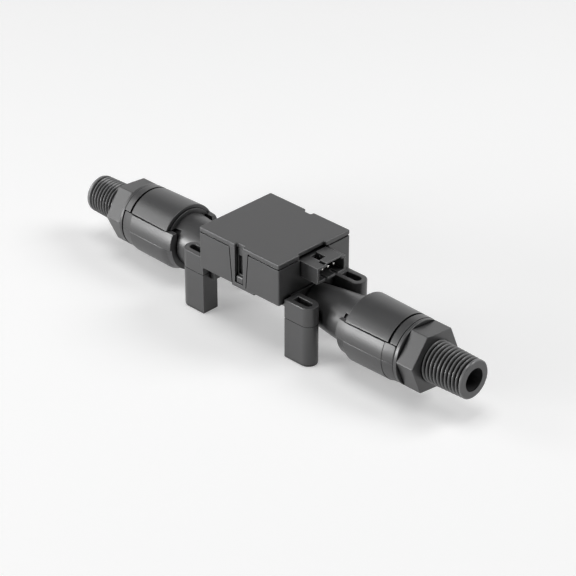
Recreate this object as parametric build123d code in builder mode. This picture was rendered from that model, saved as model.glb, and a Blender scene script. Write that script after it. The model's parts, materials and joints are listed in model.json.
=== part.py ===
from build123d import *
import os
from math import hypot, radians, tan

# In-line air flow sensor: an electronics box on a flow tube, with a threaded adapter at each end.
# Sizes are in millimetres. +X is downstream, +Z is up, the origin is under the middle of the four feet.
# A rise is a height above the pipe axis. A station is a distance from the middle of the box along X.

# Electronics box
box_length = 35.2
box_width = 31.8
box_rise = 4.3
box_corner = 0.5
wall = 1.6
floor_thickness = 1.9
cover_thickness = 1.6
cover_gap = 0.05
joint_groove = 0.35
keel_length = 10.0
keel_width = 27.0
keel_depth = 2.1

# Feet
axis_height = 14.5
foot_setback = 0.7
foot_length = 10.5
foot_width = 6.25
foot_inner = 7.85
foot_rise = 6.5
foot_wall = 1.85
parting_step = 0.12
pocket_depth = 7.5
pilot_radius = 1.3
pilot_depth = 9.0
web_thickness = 2.0
web_drop = 2.3

# Flow tube and its two sockets
tube_radius = 6.1
throat_radius = 4.0
neck_length = 21.7
neck_end_radius = 9.4
channel_end_radius = 6.0
bead_radius = 9.75
bead_width = 0.6
seat_radius = 7.7
socket_length = 17.0
socket_bore_radius = 6.5
socket_radius = 8.5
socket_lead = 0.4
stack_step = 0.5
roof_rise = 5.9
roof_radius = 11.45
hood_radius = 11.0
ring_groove = 0.5
ring_groove_offset = 0.4

# Clearances
running_clearance = 0.05
slide_clearance = 0.3
face_gap = 0.1
lock_gap = 0.2
collar_gap = 0.25
hood_gap = 0.15
fit_gap = 0.03
bench_gap = 0.1

# Threaded adapters
flange_radius = 8.3
flange_thickness = 1.8
waist_radius = 6.6
collar_radius = 10.9
collar_length = 1.25
hex_flats = 19.0
hex_length = 6.4
hex_bevel = 0.35
inlet_hex_turn = -4.8
outlet_hex_turn = -7.3
thread_length = 15.1
thread_pitch = 25.4 / 18
thread_end_radius = 6.39
thread_taper = 1 / 32
thread_depth = 0.9
thread_crest = 0.2
thread_relief = 0.2
thread_lead = 0.7
port_radius = 3.65
port_bevel = 0.3
stack_gap = 0.6
seal_offset = 4.0
seal_groove_width = 2.4
seal_groove_depth = 1.25
seal_width = 2.0
seal_rounding = 0.45

# Retaining clips
clip_wall = 2.7
clip_lock = 1.4
clip_corner = 1.2
clip_end_radius = 10.35
clip_ramp_radius = 10.7
clip_radius = 11.55
clip_outer_radius = 11.2
clip_tip_radius = 10.8
clip_ramp_start = 2.2
clip_ramp_end = 4.2
clip_zone = 4.2

# Flow conditioning
screen_thickness = 0.4
screen_rim = 0.7
screen_pitch = 1.3
screen_hole = 1.0
straightener_length = 4.0
cell_pitch = 1.75
cell_radius = 0.85
spacer_length = 2.0
spacer_wall = 0.9
restrictor_length = 14.0
restrictor_hole_radius = 0.5
restrictor_hole_pitch = 1.4
sample_length = 8.0
sample_width = 2.4
sample_floor_rise = 2.2

# Snap tabs of the cover
tab_top_width = 8.3
tab_bottom_width = 5.6
tab_thickness = 1.2
tab_gap = 0.25
tab_back_width = 11.0
tab_back_wall = 1.2
window_width = 3.5
window_sill = 0.8
cover_notch_depth = 1.3
lug_width = 2.6
lug_height = 2.4
lug_projection = 0.95
lug_rounding = 0.8
rim_thickness = 1.0
rim_depth = 1.2
cover_cut_left = 6.6
cover_cut_right = 5.0
cover_cut_depth = 1.0

# Circuit board
board_standoff = 3.7
board_thickness = 1.2
board_margin = 0.5
post_radius = 1.9
post_inset_x = 2.9
post_inset_y = 3.6
screw_radius = 0.9
screw_head_radius = 1.7
screw_head_height = 1.1
screw_engagement = 3.0
recess_length = 1.4
recess_width = 0.3
recess_depth = 0.5

# Sensing element
pocket_length = 11.0
pocket_width = 9.0
pocket_wall = 1.0
pocket_floor_lift = 0.2
boss_height = 1.6
tap_length = 5.0
tap_width = 3.0
gasket_thickness = 0.6
gasket_rim = 2.2
package_thickness = 1.2
chip_length = 2.0
chip_width = 1.8
chip_thickness = 0.4
lead_radius = 0.25
lead_pitch = 2.54
lead_row = 3.7
clamp_length = 19.0
clamp_width = 5.6
clamp_thickness = 0.7
clamp_hole_spacing = 16.0
clamp_screw_radius = 0.75
clamp_head_radius = 1.4
clamp_head_height = 0.8
clamp_post_radius = 1.4

# Electronic components: length, width, height and place on the board
amplifier_size = (5.0, 4.0, 1.6)
amplifier_place = (-8.0, 6.5)
regulator_size = (3.0, 1.6, 1.1)
regulator_place = (5.0, -8.5)
component_lead = 0.7
component_lead_width = 0.42
component_lead_height = 0.6
capacitor_size = (2.0, 1.25, 0.9)
capacitor_places = [(0.5, -8.5), (9.0, -8.5), (-8.0, 1.5)]
resistor_size = (1.6, 0.8, 0.5)
resistor_places = [(-8.0, -3.0), (-8.0, -5.0), (-4.5, -8.0), (2.5, 8.5)]

# Connector
connector_width = 12.6
connector_height = 5.55
connector_reach = 7.3
connector_tail = 2.0
connector_wall = 0.8
cavity_depth = 5.5
keyway_left = 2.0
keyway_right = 4.5
bridge_left = 2.4
bridge_right = 4.9
bridge_height = 0.6
bridge_bar = 2.9
latch_slot_left = 1.7
latch_slot_right = -0.3
lip_slot_width = 1.2
lip_slot_depth = 3.0
lip_slot_spacing = 4.6
pin_width = 0.64
pin_pitch = 2.54
pin_rise = 3.3
pin_setback = 1.4
pin_tail_gap = 1.2
pin_stickout = 1.0
pin_hole_radius = 0.5

# Stations along the pipe, from the box outwards
neck_start = box_length / 2 + foot_setback
shoulder = neck_start + neck_length
mouth = shoulder + socket_length
flange_start = mouth + face_gap
flange_end = flange_start + flange_thickness
lock_start = flange_end + lock_gap
lock_end = lock_start + clip_lock
collar_start = lock_end + collar_gap
hex_start = collar_start + collar_length
hex_end = hex_start + hex_length
tip = hex_end + thread_length
hood_end = collar_start - hood_gap
clip_start = shoulder - slide_clearance - clip_wall
seat_start = clip_start - slide_clearance
stack_start = shoulder + stack_step
straightener_start = stack_start + screen_thickness
spacer_start = straightener_start + straightener_length
spigot_tip = spacer_start + spacer_length + stack_gap

# Heights above the feet
box_bottom = axis_height + box_rise
tray_floor = box_bottom + floor_thickness
board_bottom = tray_floor + board_standoff
board_top = board_bottom + board_thickness
connector_bottom = board_top
connector_top = connector_bottom + connector_height
tray_top = connector_top + bridge_height + cover_gap
box_top = tray_top + cover_thickness
box_height = box_top - box_bottom
pocket_floor = tray_floor + pocket_floor_lift
package_bottom = pocket_floor + gasket_thickness
package_top = package_bottom + package_thickness
clamp_top = package_top + clamp_thickness
clip_rise = roof_rise - slide_clearance
pin_height = connector_bottom + pin_rise

# Shared radii and half sizes
inner_half_length = box_length / 2 - wall
inner_half_width = box_width / 2 - wall
tab_back = box_width / 2 - tab_thickness - bench_gap
board_half_width = tab_back - tab_back_wall - board_margin
stack_radius = socket_bore_radius - running_clearance
foot_end_radius = foot_width / 2
foot_x = neck_start + foot_length / 2
foot_y = foot_inner + foot_width / 2
connector_end = box_length / 2 + connector_reach
connector_start = inner_half_length - connector_tail
pin_x = connector_start - pin_tail_gap

reach = tip

pipe_axis = Axis((0, 0, axis_height), (1, 0, 0))
side_plane = Plane(origin=(0, 0, axis_height), x_dir=(1, 0, 0), z_dir=(0, -1, 0))


def section(station):
    """Plane across the pipe, with Y to its right and Z up."""
    return Plane(origin=(station, 0, axis_height), x_dir=(0, 1, 0), z_dir=(1, 0, 0))


def both_ends(points):
    """Outline points of the outlet half with those of the inlet half before them."""
    return [(-x, y) for x, y in reversed(points)] + points


def turned(points):
    """Solid of revolution about the pipe axis from stations and radii."""
    with BuildPart() as shape:
        with BuildSketch(side_plane):
            with BuildLine():
                Polyline(points, close=True)
            make_face()
        revolve(axis=pipe_axis)
    return shape.part


def disc(start, end, radius):
    """Round bar along the pipe axis between two stations."""
    return turned([(start, 0), (start, radius), (end, radius), (end, 0)])


def slide_opening(start, end, half_width, side):
    """Round-bottomed slot, open upwards, that lets a piece slide down off a round one."""
    with BuildPart() as opening:
        with BuildSketch(section(side * start)):
            Circle(half_width)
            Rectangle(2 * half_width, roof_radius, align=(Align.CENTER, Align.MIN))
        extrude(amount=side * (end - start))
    return opening.part


def make_roof(side):
    """Upper shell of a socket with its hood over the adapter's flange, flat underneath."""
    groove_start = mouth + ring_groove_offset
    with BuildPart() as roof:
        add(turned([(side * x, r) for x, r in (
            (shoulder, 0), (shoulder, roof_radius), (hood_end, hood_radius), (hood_end, 0))]))
        add(turned([(side * x, r) for x, r in (
            (groove_start, hood_radius - ring_groove), (groove_start, roof_radius),
            (groove_start + ring_groove, roof_radius), (groove_start + ring_groove, hood_radius - ring_groove))]),
            mode=Mode.SUBTRACT)
        add(disc(side * mouth, side * reach, flange_radius + slide_clearance), mode=Mode.SUBTRACT)
        split(bisect_by=Plane.XY.offset(axis_height + roof_rise), keep=Keep.TOP)
    return roof.part


def make_seat_cut(side):
    """Ring below the roof line that takes the neck down to the clip's seat."""
    with BuildPart() as cut:
        add(turned([(side * x, r) for x, r in (
            (seat_start, seat_radius), (seat_start, roof_radius),
            (shoulder, roof_radius), (shoulder, seat_radius))]))
        split(bisect_by=Plane.XY.offset(axis_height + roof_rise), keep=Keep.BOTTOM)
    return cut.part


def hex_grid(pitch, radius):
    """Points of a triangular grid that lie within a radius of its middle."""
    count = int(radius / pitch) + 2
    points = [(pitch * (i + j / 2), pitch * j * 3 ** 0.5 / 2)
              for i in range(-2 * count, 2 * count) for j in range(-count, count + 1)]
    return [(x, y) for x, y in points if hypot(x, y) <= radius]


def square_grid(pitch, radius):
    """Points of a square grid that lie within a radius of its middle."""
    count = int(radius / pitch) + 1
    points = [(pitch * i, pitch * j) for i in range(-count, count + 1) for j in range(-count, count + 1)]
    return [(x, y) for x, y in points if hypot(x, y) <= radius]


def tab_outline(grow):
    """Trapezoid of a snap tab, seen from the front, widened by grow on each side."""
    top, bottom = tab_top_width / 2 + grow, tab_bottom_width / 2 + grow
    low, high = box_bottom - axis_height, tray_top - axis_height
    return [(-top, high), (-bottom, low), (bottom, low), (top, high)]


tube_blank = turned(both_ends([
    (neck_start, tube_radius), (shoulder - bead_width, neck_end_radius), (shoulder - bead_width, bead_radius),
    (shoulder, bead_radius), (shoulder, socket_radius), (mouth, socket_radius), (mouth, 0)]))
air_channel = turned(both_ends([
    (neck_start, throat_radius), (stack_start, channel_end_radius), (stack_start, socket_bore_radius),
    (mouth - socket_lead, socket_bore_radius), (mouth, socket_bore_radius + socket_lead), (mouth, 0)]))
roofs = [make_roof(side) for side in (-1, 1)]
seat_cuts = [make_seat_cut(side) for side in (-1, 1)]
corners = [(x, y) for x in (-1, 1) for y in (-1, 1)]
board_screw_places = [(x * (inner_half_length - post_inset_x), y * (inner_half_width - post_inset_y))
                      for x, y in corners]
clamp_screw_places = [(x * clamp_hole_spacing / 2, 0) for x in (-1, 1)]


def foot_sketch(x_side, y_side, inset):
    """Plan of one foot: straight towards the box, half round at its outer end."""
    radius = foot_end_radius - inset
    straight = foot_length - foot_end_radius - inset
    with Locations((x_side * (neck_start + foot_length - foot_end_radius), y_side * foot_y)):
        Circle(radius)
        along = Align.MAX if x_side > 0 else Align.MIN
        Rectangle(straight, 2 * radius, align=(along, Align.CENTER))


# Housing: flow tube, sockets, feet and the tray of the electronics box
with BuildPart() as housing:
    add(tube_blank)
    for cut in seat_cuts:
        add(cut, mode=Mode.SUBTRACT)
    for roof in roofs:
        add(roof)
    with BuildSketch(Plane.XY.offset(box_bottom)):
        RectangleRounded(box_length, box_width, box_corner)
    extrude(amount=tray_top - box_bottom)
    with BuildSketch(Plane.XY.offset(box_bottom)):
        Rectangle(keel_length, keel_width)
    extrude(amount=-keel_depth)
    for x_side, y_side in corners:
        with BuildSketch(Plane.XY.offset(axis_height)):
            foot_sketch(x_side, y_side, 0)
        extrude(amount=foot_rise)
        with BuildSketch(Plane.XY):
            foot_sketch(x_side, y_side, parting_step)
        extrude(amount=axis_height)
    for x_side in (-1, 1):
        with BuildSketch(section(x_side * neck_start)):
            with Locations((0, -web_drop)):
                Rectangle(2 * foot_y, box_rise + web_drop, align=(Align.CENTER, Align.MIN))
        extrude(amount=-x_side * web_thickness)
        with BuildSketch(section(x_side * neck_start)):
            Rectangle(2 * foot_y, foot_rise, align=(Align.CENTER, Align.MIN))
        extrude(amount=-x_side * (foot_setback + wall / 2))
    for x_side, y_side in corners:
        with BuildSketch(Plane.XY.offset(axis_height + foot_rise)):
            foot_sketch(x_side, y_side, foot_wall)
        extrude(amount=-pocket_depth, mode=Mode.SUBTRACT)
    with Locations([(x * foot_x, y * foot_y, 0) for x, y in corners]):
        Cylinder(pilot_radius, pilot_depth, align=(Align.CENTER, Align.CENTER, Align.MIN), mode=Mode.SUBTRACT)
    with BuildSketch(Plane.XY.offset(tray_floor)):
        Rectangle(2 * inner_half_length, 2 * inner_half_width)
    extrude(amount=box_height, mode=Mode.SUBTRACT)
    with BuildSketch(Plane.XY.offset(tray_floor)):
        for y_side in (-1, 1):
            with Locations((0, y_side * (tab_back - tab_back_wall))):
                along = Align.MIN if y_side > 0 else Align.MAX
                Rectangle(tab_back_width, box_width / 2 - tab_back + tab_back_wall - wall / 2,
                          align=(Align.CENTER, along))
    extrude(amount=tray_top - tray_floor)
    with BuildSketch(side_plane):
        with BuildLine():
            Polyline(tab_outline(tab_gap), close=True)
        make_face()
    tab_tool = extrude(amount=reach, both=True, mode=Mode.PRIVATE)
    with BuildSketch(Plane.XY):
        Rectangle(reach, reach)
        Rectangle(reach, 2 * tab_back, mode=Mode.SUBTRACT)
    ring_tool = extrude(amount=reach, mode=Mode.PRIVATE)
    add(tab_tool.intersect(ring_tool), mode=Mode.SUBTRACT)
    with BuildSketch(section(-lug_width / 2)):
        with Locations((0, box_rise + window_sill + bench_gap)):
            lugs = Rectangle(2 * (tab_back + lug_projection), lug_height, align=(Align.CENTER, Align.MIN))
            fillet(lugs.vertices().group_by(Axis.Y)[-1], lug_rounding)
            Rectangle(2 * tab_back - tab_back_wall, lug_height, align=(Align.CENTER, Align.MIN), mode=Mode.SUBTRACT)
    extrude(amount=lug_width)
    with BuildSketch(Plane.XY.offset(tray_top)):
        Rectangle(box_length, box_width)
        Rectangle(box_length - 2 * joint_groove, box_width - 2 * joint_groove, mode=Mode.SUBTRACT)
    extrude(amount=-joint_groove, mode=Mode.SUBTRACT)
    with BuildSketch(Plane.XY.offset(connector_bottom)):
        with Locations((inner_half_length - wall, 0)):
            Rectangle(3 * wall, connector_width + 2 * bench_gap, align=(Align.MIN, Align.CENTER))
    extrude(amount=box_height, mode=Mode.SUBTRACT)
    with BuildSketch(Plane.XY.offset(tray_floor)):
        with Locations(board_screw_places):
            Circle(post_radius)
    extrude(amount=board_standoff)
    with BuildSketch(Plane.XY.offset(tray_floor)):
        with Locations(clamp_screw_places):
            Circle(clamp_post_radius)
    extrude(amount=package_top - tray_floor)
    with BuildSketch(Plane.XY.offset(tray_floor)):
        Rectangle(pocket_length + 2 * pocket_wall, pocket_width + 2 * pocket_wall)
    extrude(amount=boss_height)
    with BuildSketch(Plane.XY.offset(pocket_floor)):
        Rectangle(pocket_length, pocket_width)
    extrude(amount=box_height, mode=Mode.SUBTRACT)
    with BuildSketch(Plane.XY.offset(axis_height)):
        Rectangle(tap_length, tap_width)
    extrude(amount=box_height, mode=Mode.SUBTRACT)
    add(air_channel, mode=Mode.SUBTRACT)
    with Locations([(x, y, board_bottom) for x, y in board_screw_places]):
        Cylinder(screw_radius + fit_gap, screw_engagement + bench_gap,
                 align=(Align.CENTER, Align.CENTER, Align.MAX), mode=Mode.SUBTRACT)
    with Locations([(x, y, package_top) for x, y in clamp_screw_places]):
        Cylinder(clamp_screw_radius + fit_gap, package_top - tray_floor,
                 align=(Align.CENTER, Align.CENTER, Align.MAX), mode=Mode.SUBTRACT)


# Snap-on cover with its two slotted tabs
with BuildPart() as top_cover:
    with BuildSketch(Plane.XY.offset(tray_top)):
        RectangleRounded(box_length, box_width, box_corner)
    extrude(amount=cover_thickness)
    with BuildSketch(side_plane):
        with BuildLine():
            Polyline(tab_outline(0), close=True)
        make_face()
    tab_bar = extrude(amount=box_width / 2, both=True, mode=Mode.PRIVATE)
    with BuildSketch(Plane.XY.offset(box_bottom + bench_gap)):
        Rectangle(tab_top_width, box_width)
        Rectangle(tab_top_width, box_width - 2 * tab_thickness, mode=Mode.SUBTRACT)
    tab_shell = extrude(amount=tray_top - box_bottom, mode=Mode.PRIVATE)
    add(tab_bar.intersect(tab_shell))
    with BuildSketch(Plane.XY.offset(tray_top)):
        rim_length = 2 * (inner_half_length - bench_gap)
        rim_width = 2 * (inner_half_width - bench_gap)
        Rectangle(rim_length, rim_width)
        Rectangle(rim_length - 2 * rim_thickness, rim_width - 2 * rim_thickness, mode=Mode.SUBTRACT)
        Rectangle(tab_back_width + 2 * bench_gap, box_width, mode=Mode.SUBTRACT)
        with Locations((inner_half_length, 0)):
            Rectangle(3 * wall, connector_width + 2 * wall, mode=Mode.SUBTRACT)
    extrude(amount=-rim_depth)
    with BuildSketch(Plane.XY.offset(box_top)):
        with Locations([(0, y * box_width / 2) for y in (-1, 1)]):
            Rectangle(window_width, 2 * cover_notch_depth)
    extrude(amount=-(box_height - window_sill - bench_gap), mode=Mode.SUBTRACT)
    with BuildSketch(Plane.XY.offset(box_top)):
        with Locations((box_length / 2, (cover_cut_right - cover_cut_left) / 2)):
            Rectangle(2 * cover_cut_depth, cover_cut_left + cover_cut_right)
    extrude(amount=-cover_thickness, mode=Mode.SUBTRACT)

# Circuit board with holes for its screws, the sensor's leads and the connector's pins
lead_places = [(x * lead_pitch, y * lead_row) for x in (-1, 0, 1) for y in (-1, 1)]
pin_places = [-pin_pitch, 0, pin_pitch]
with BuildPart() as circuit_board:
    with BuildSketch(Plane.XY.offset(board_bottom)):
        Rectangle(2 * (inner_half_length - board_margin), 2 * board_half_width)
        with Locations(board_screw_places):
            Circle(screw_radius + bench_gap, mode=Mode.SUBTRACT)
        with Locations(lead_places):
            Circle(lead_radius + bench_gap, mode=Mode.SUBTRACT)
        with Locations([(pin_x, y) for y in pin_places]):
            Circle(pin_hole_radius, mode=Mode.SUBTRACT)
    extrude(amount=board_thickness)

with BuildPart() as board_screws:
    with Locations([(x, y, board_top) for x, y in board_screw_places]):
        Cylinder(screw_radius, board_thickness + screw_engagement,
                 align=(Align.CENTER, Align.CENTER, Align.MAX))
        Cylinder(screw_head_radius, screw_head_height, align=(Align.CENTER, Align.CENTER, Align.MIN))
    with BuildSketch(Plane.XY.offset(board_top + screw_head_height)):
        with Locations(board_screw_places):
            Rectangle(recess_length, recess_width)
            Rectangle(recess_width, recess_length)
    extrude(amount=-recess_depth, mode=Mode.SUBTRACT)

# Sensing element: gasket, package, chip, leads and the clamp that holds them down
with BuildPart() as sensor_gasket:
    with BuildSketch(Plane.XY.offset(pocket_floor)):
        Rectangle(pocket_length - 2 * bench_gap, pocket_width - 2 * bench_gap)
        Rectangle(pocket_length - 2 * gasket_rim, pocket_width - 2 * gasket_rim, mode=Mode.SUBTRACT)
    extrude(amount=gasket_thickness)

with BuildPart() as sensor_package:
    with BuildSketch(Plane.XY.offset(package_bottom)):
        Rectangle(pocket_length - 2 * bench_gap, pocket_width - 2 * bench_gap)
        with Locations(lead_places):
            Circle(lead_radius + fit_gap, mode=Mode.SUBTRACT)
    extrude(amount=package_thickness)

with BuildPart() as sensor_chip:
    with BuildSketch(Plane.XY.offset(package_bottom)):
        Rectangle(chip_length, chip_width)
    extrude(amount=-chip_thickness)

with BuildPart() as sensor_leads:
    with BuildSketch(Plane.XY.offset(package_bottom + package_thickness / 2)):
        with Locations(lead_places):
            Circle(lead_radius)
    extrude(amount=board_top + pin_stickout - package_bottom - package_thickness / 2)

with BuildPart() as sensor_clamp:
    with BuildSketch(Plane.XY.offset(package_top)):
        Rectangle(clamp_length, clamp_width)
        with Locations(clamp_screw_places):
            Circle(clamp_screw_radius + bench_gap, mode=Mode.SUBTRACT)
    extrude(amount=clamp_thickness)

with BuildPart() as clamp_screws:
    with Locations([(x, y, clamp_top) for x, y in clamp_screw_places]):
        Cylinder(clamp_screw_radius, clamp_top - tray_floor - bench_gap,
                 align=(Align.CENTER, Align.CENTER, Align.MAX))
        Cylinder(clamp_head_radius, clamp_head_height, align=(Align.CENTER, Align.CENTER, Align.MIN))
    with BuildSketch(Plane.XY.offset(clamp_top + clamp_head_height)):
        with Locations(clamp_screw_places):
            Rectangle(recess_length, recess_width)
            Rectangle(recess_width, recess_length)
    extrude(amount=-recess_depth, mode=Mode.SUBTRACT)


def make_chip_component(size, place, lead_count):
    """Moulded component on the board with lead_count flat leads on each long side."""
    length, width, height = size
    with BuildPart() as component:
        with BuildSketch(Plane.XY.offset(board_top)):
            with Locations(place):
                Rectangle(length, width)
        extrude(amount=height)
        with BuildSketch(Plane.XY.offset(board_top)):
            with Locations(place):
                with GridLocations(length / lead_count, 0, lead_count, 1):
                    Rectangle(component_lead_width, width + 2 * component_lead)
        extrude(amount=component_lead_height)
    return component


def make_blocks(size, places):
    """Row of equal chip components as separate solids."""
    length, width, height = size
    with BuildPart() as blocks:
        with BuildSketch(Plane.XY.offset(board_top)):
            with Locations(places):
                Rectangle(length, width)
        extrude(amount=height)
    return blocks


amplifier = make_chip_component(amplifier_size, amplifier_place, 4)
voltage_regulator = make_chip_component(regulator_size, regulator_place, 3)
capacitors = make_blocks(capacitor_size, capacitor_places)
resistors = make_blocks(resistor_size, resistor_places)

# Connector body with its polarised top, and its three pins
cavity_start = connector_end - cavity_depth
cavity_floor = connector_bottom + connector_wall
cavity_roof = connector_top - connector_wall
with BuildPart() as connector_body:
    with BuildSketch(Plane.XY.offset(connector_bottom)):
        with Locations((connector_start, 0)):
            Rectangle(connector_end - connector_start, connector_width, align=(Align.MIN, Align.CENTER))
    extrude(amount=connector_height)
    with BuildSketch(Plane.XY.offset(connector_top)):
        with Locations((connector_end, (bridge_right - bridge_left) / 2)):
            Rectangle(bridge_bar, bridge_left + bridge_right, align=(Align.MAX, Align.CENTER))
        with Locations((box_length / 2, (bridge_right - latch_slot_right) / 2)):
            Rectangle(connector_reach, bridge_right + latch_slot_right, align=(Align.MIN, Align.CENTER))
    extrude(amount=bridge_height)
    with BuildSketch(Plane.XY.offset(cavity_floor)):
        with Locations((cavity_start, 0)):
            Rectangle(cavity_depth, connector_width - 2 * connector_wall, align=(Align.MIN, Align.CENTER))
    extrude(amount=cavity_roof - cavity_floor, mode=Mode.SUBTRACT)
    with BuildSketch(Plane.XY.offset(cavity_floor)):
        with Locations((cavity_start, (keyway_right - keyway_left) / 2)):
            Rectangle(cavity_depth, keyway_left + keyway_right, align=(Align.MIN, Align.CENTER))
    extrude(amount=connector_top - cavity_floor, mode=Mode.SUBTRACT)
    with BuildSketch(Plane.XY.offset(cavity_roof - connector_wall)):
        with Locations((box_length / 2, -(latch_slot_left + latch_slot_right) / 2)):
            Rectangle(connector_reach - bridge_bar, latch_slot_left - latch_slot_right,
                      align=(Align.MIN, Align.CENTER))
    extrude(amount=box_height, mode=Mode.SUBTRACT)
    with BuildSketch(Plane.XY.offset(connector_bottom)):
        with Locations([(connector_end, y * lip_slot_spacing / 2) for y in (-1, 1)]):
            Rectangle(lip_slot_depth, lip_slot_width, align=(Align.MAX, Align.CENTER))
    extrude(amount=connector_wall, mode=Mode.SUBTRACT)
    with Locations([(connector_start, y, pin_height) for y in pin_places]):
        Box(connector_end - connector_start, pin_width + fit_gap, pin_width + fit_gap,
            align=(Align.MIN, Align.CENTER, Align.CENTER), mode=Mode.SUBTRACT)


def make_pin(y):
    """Square pin from the cavity through the connector and down through the board."""
    start, end = pin_x - pin_width / 2, connector_end - pin_setback
    with BuildPart() as pin:
        with Locations((start, y, pin_height)):
            Box(end - start, pin_width, pin_width, align=(Align.MIN, Align.CENTER, Align.CENTER))
        with Locations((pin_x, y, pin_height + pin_width / 2)):
            Box(pin_width, pin_width, pin_height + pin_width / 2 - board_bottom + pin_stickout,
                align=(Align.CENTER, Align.CENTER, Align.MAX))
        chamfer(pin.faces().sort_by(Axis.X)[-1].edges(), pin_width / 4)
    return pin


# Flow restrictor under the sensing chip, with a shallow trough that leads air past it
with BuildPart() as flow_restrictor:
    add(disc(-restrictor_length / 2, restrictor_length / 2, throat_radius - fit_gap))
    with BuildSketch(section(-restrictor_length / 2)):
        with Locations([(x, y) for x, y in hex_grid(restrictor_hole_pitch, throat_radius - 2 * restrictor_hole_radius)
                        if y < sample_floor_rise - 2 * restrictor_hole_radius]):
            Circle(restrictor_hole_radius)
    extrude(amount=restrictor_length, mode=Mode.SUBTRACT)
    with BuildSketch(Plane.XY.offset(axis_height + sample_floor_rise)):
        Rectangle(sample_length, sample_width)
    extrude(amount=throat_radius, mode=Mode.SUBTRACT)


def make_screen(side):
    """Flow screen at the foot of a socket: a rim with a square mesh inside it."""
    open_radius = stack_radius - screen_rim
    with BuildPart() as screen:
        with BuildSketch(section(side * stack_start)):
            Circle(stack_radius)
            with Locations(square_grid(screen_pitch, open_radius - screen_hole / 2 ** 0.5)):
                Rectangle(screen_hole, screen_hole, mode=Mode.SUBTRACT)
        extrude(amount=side * screen_thickness)
    return screen


def make_straightener(side):
    """Honeycomb that takes the swirl out of the flow."""
    with BuildPart() as straightener:
        with BuildSketch(section(side * straightener_start)):
            Circle(stack_radius)
            with Locations(hex_grid(cell_pitch, stack_radius - spacer_wall - cell_radius / 2)):
                RegularPolygon(cell_radius, 6, mode=Mode.SUBTRACT)
        extrude(amount=side * straightener_length)
    return straightener


def make_spacer(side):
    """Press-in ring that holds the honeycomb and screen against their step."""
    with BuildPart() as spacer:
        add(disc(side * spacer_start, side * (spacer_start + spacer_length), stack_radius))
        add(disc(side * spacer_start, side * (spacer_start + spacer_length), stack_radius - spacer_wall),
            mode=Mode.SUBTRACT)
    return spacer


def crest_radius(station):
    """Radius of the tapered thread's crests at a station."""
    return thread_end_radius + (tip - station) * thread_taper


def thread_outline():
    """Outline of the threaded end as a row of grooves at the thread's pitch on its taper."""
    flank = thread_depth * tan(radians(30))
    groove = thread_pitch - thread_crest
    turns = int((thread_length - thread_relief - thread_lead) / thread_pitch)
    points = [(hex_end, crest_radius(hex_end))]
    for turn in range(turns):
        start = hex_end + thread_relief + turn * thread_pitch + thread_crest
        radius = crest_radius(start)
        points += [(start, radius), (start + flank, radius - thread_depth),
                   (start + groove - flank, radius - thread_depth), (start + groove, radius)]
    return points + [(tip - port_bevel, crest_radius(tip)), (tip, crest_radius(tip) - port_bevel)]


def make_adapter(side, hex_turn):
    """Threaded adapter: spigot with a seal groove, locking flange, collar, hexagon and pipe thread."""
    spigot = socket_bore_radius - running_clearance
    seal_centre = flange_start - seal_offset
    seal_start, seal_end = seal_centre - seal_groove_width / 2, seal_centre + seal_groove_width / 2
    groove_radius = spigot - seal_groove_depth
    outline = [
        (spigot_tip, 0), (spigot_tip, spigot - port_bevel), (spigot_tip + port_bevel, spigot),
        (seal_start, spigot), (seal_start, groove_radius), (seal_end, groove_radius), (seal_end, spigot),
        (flange_start, spigot), (flange_start, flange_radius), (flange_end, flange_radius),
        (flange_end, waist_radius), (collar_start, waist_radius), (collar_start, collar_radius),
        (hex_start, collar_radius), (hex_start, thread_end_radius), (hex_end, thread_end_radius)]
    corner = hex_flats / 3 ** 0.5
    with BuildPart() as adapter:
        add(turned([(side * x, r) for x, r in outline + thread_outline() + [(tip, 0)]]))
        with BuildSketch(section(side * hex_start)):
            RegularPolygon(corner, 6, rotation=hex_turn)
        hexagon = extrude(amount=side * hex_length, mode=Mode.PRIVATE)
        limit = turned([(side * x, r) for x, r in (
            (hex_start, 0), (hex_start, corner), (hex_end - hex_bevel, corner),
            (hex_end, corner - hex_bevel), (hex_end, 0))])
        add(hexagon.intersect(limit))
        with BuildSketch(section(side * (spigot_tip - bench_gap))):
            Circle(port_radius)
        extrude(amount=side * (tip - spigot_tip + 2 * bench_gap), mode=Mode.SUBTRACT)
    return adapter


def make_seal(side):
    """Sealing ring seated in the spigot's groove, at its squeezed section."""
    inner = socket_bore_radius - running_clearance - seal_groove_depth + fit_gap
    outer = socket_bore_radius - fit_gap
    with BuildPart() as seal:
        with BuildSketch(side_plane):
            with Locations((side * (flange_start - seal_offset), (inner + outer) / 2)):
                RectangleRounded(seal_width, outer - inner, (outer - inner) * seal_rounding)
        revolve(axis=pipe_axis)
    return seal


def make_clip(side):
    """Clip that slides up over a socket and ties the adapter's flange to the shoulder."""
    outline = [
        (clip_start, 0), (clip_start, clip_end_radius), (clip_start + clip_ramp_start, clip_ramp_radius),
        (clip_start + clip_ramp_end, clip_radius), (lock_end - clip_zone, clip_outer_radius),
        (lock_end, clip_tip_radius), (lock_end, 0)]
    with BuildPart() as clip:
        add(turned([(side * x, r) for x, r in outline]))
        with BuildSketch(side_plane):
            with Locations((side * (clip_start + lock_end) / 2, clip_rise)):
                view = Rectangle(lock_end - clip_start, 3 * clip_radius, align=(Align.CENTER, Align.MAX))
            fillet(view.vertices().group_by(Axis.Y)[-1], clip_corner)
        extrude(amount=reach, both=True, mode=Mode.INTERSECT)
        add(slide_opening(clip_start - bench_gap, shoulder, seat_radius + slide_clearance, side),
            mode=Mode.SUBTRACT)
        add(slide_opening(shoulder - slide_clearance, lock_start, socket_radius + slide_clearance, side),
            mode=Mode.SUBTRACT)
        add(slide_opening(lock_start, lock_end + bench_gap, waist_radius + slide_clearance, side),
            mode=Mode.SUBTRACT)
    return clip


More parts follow.
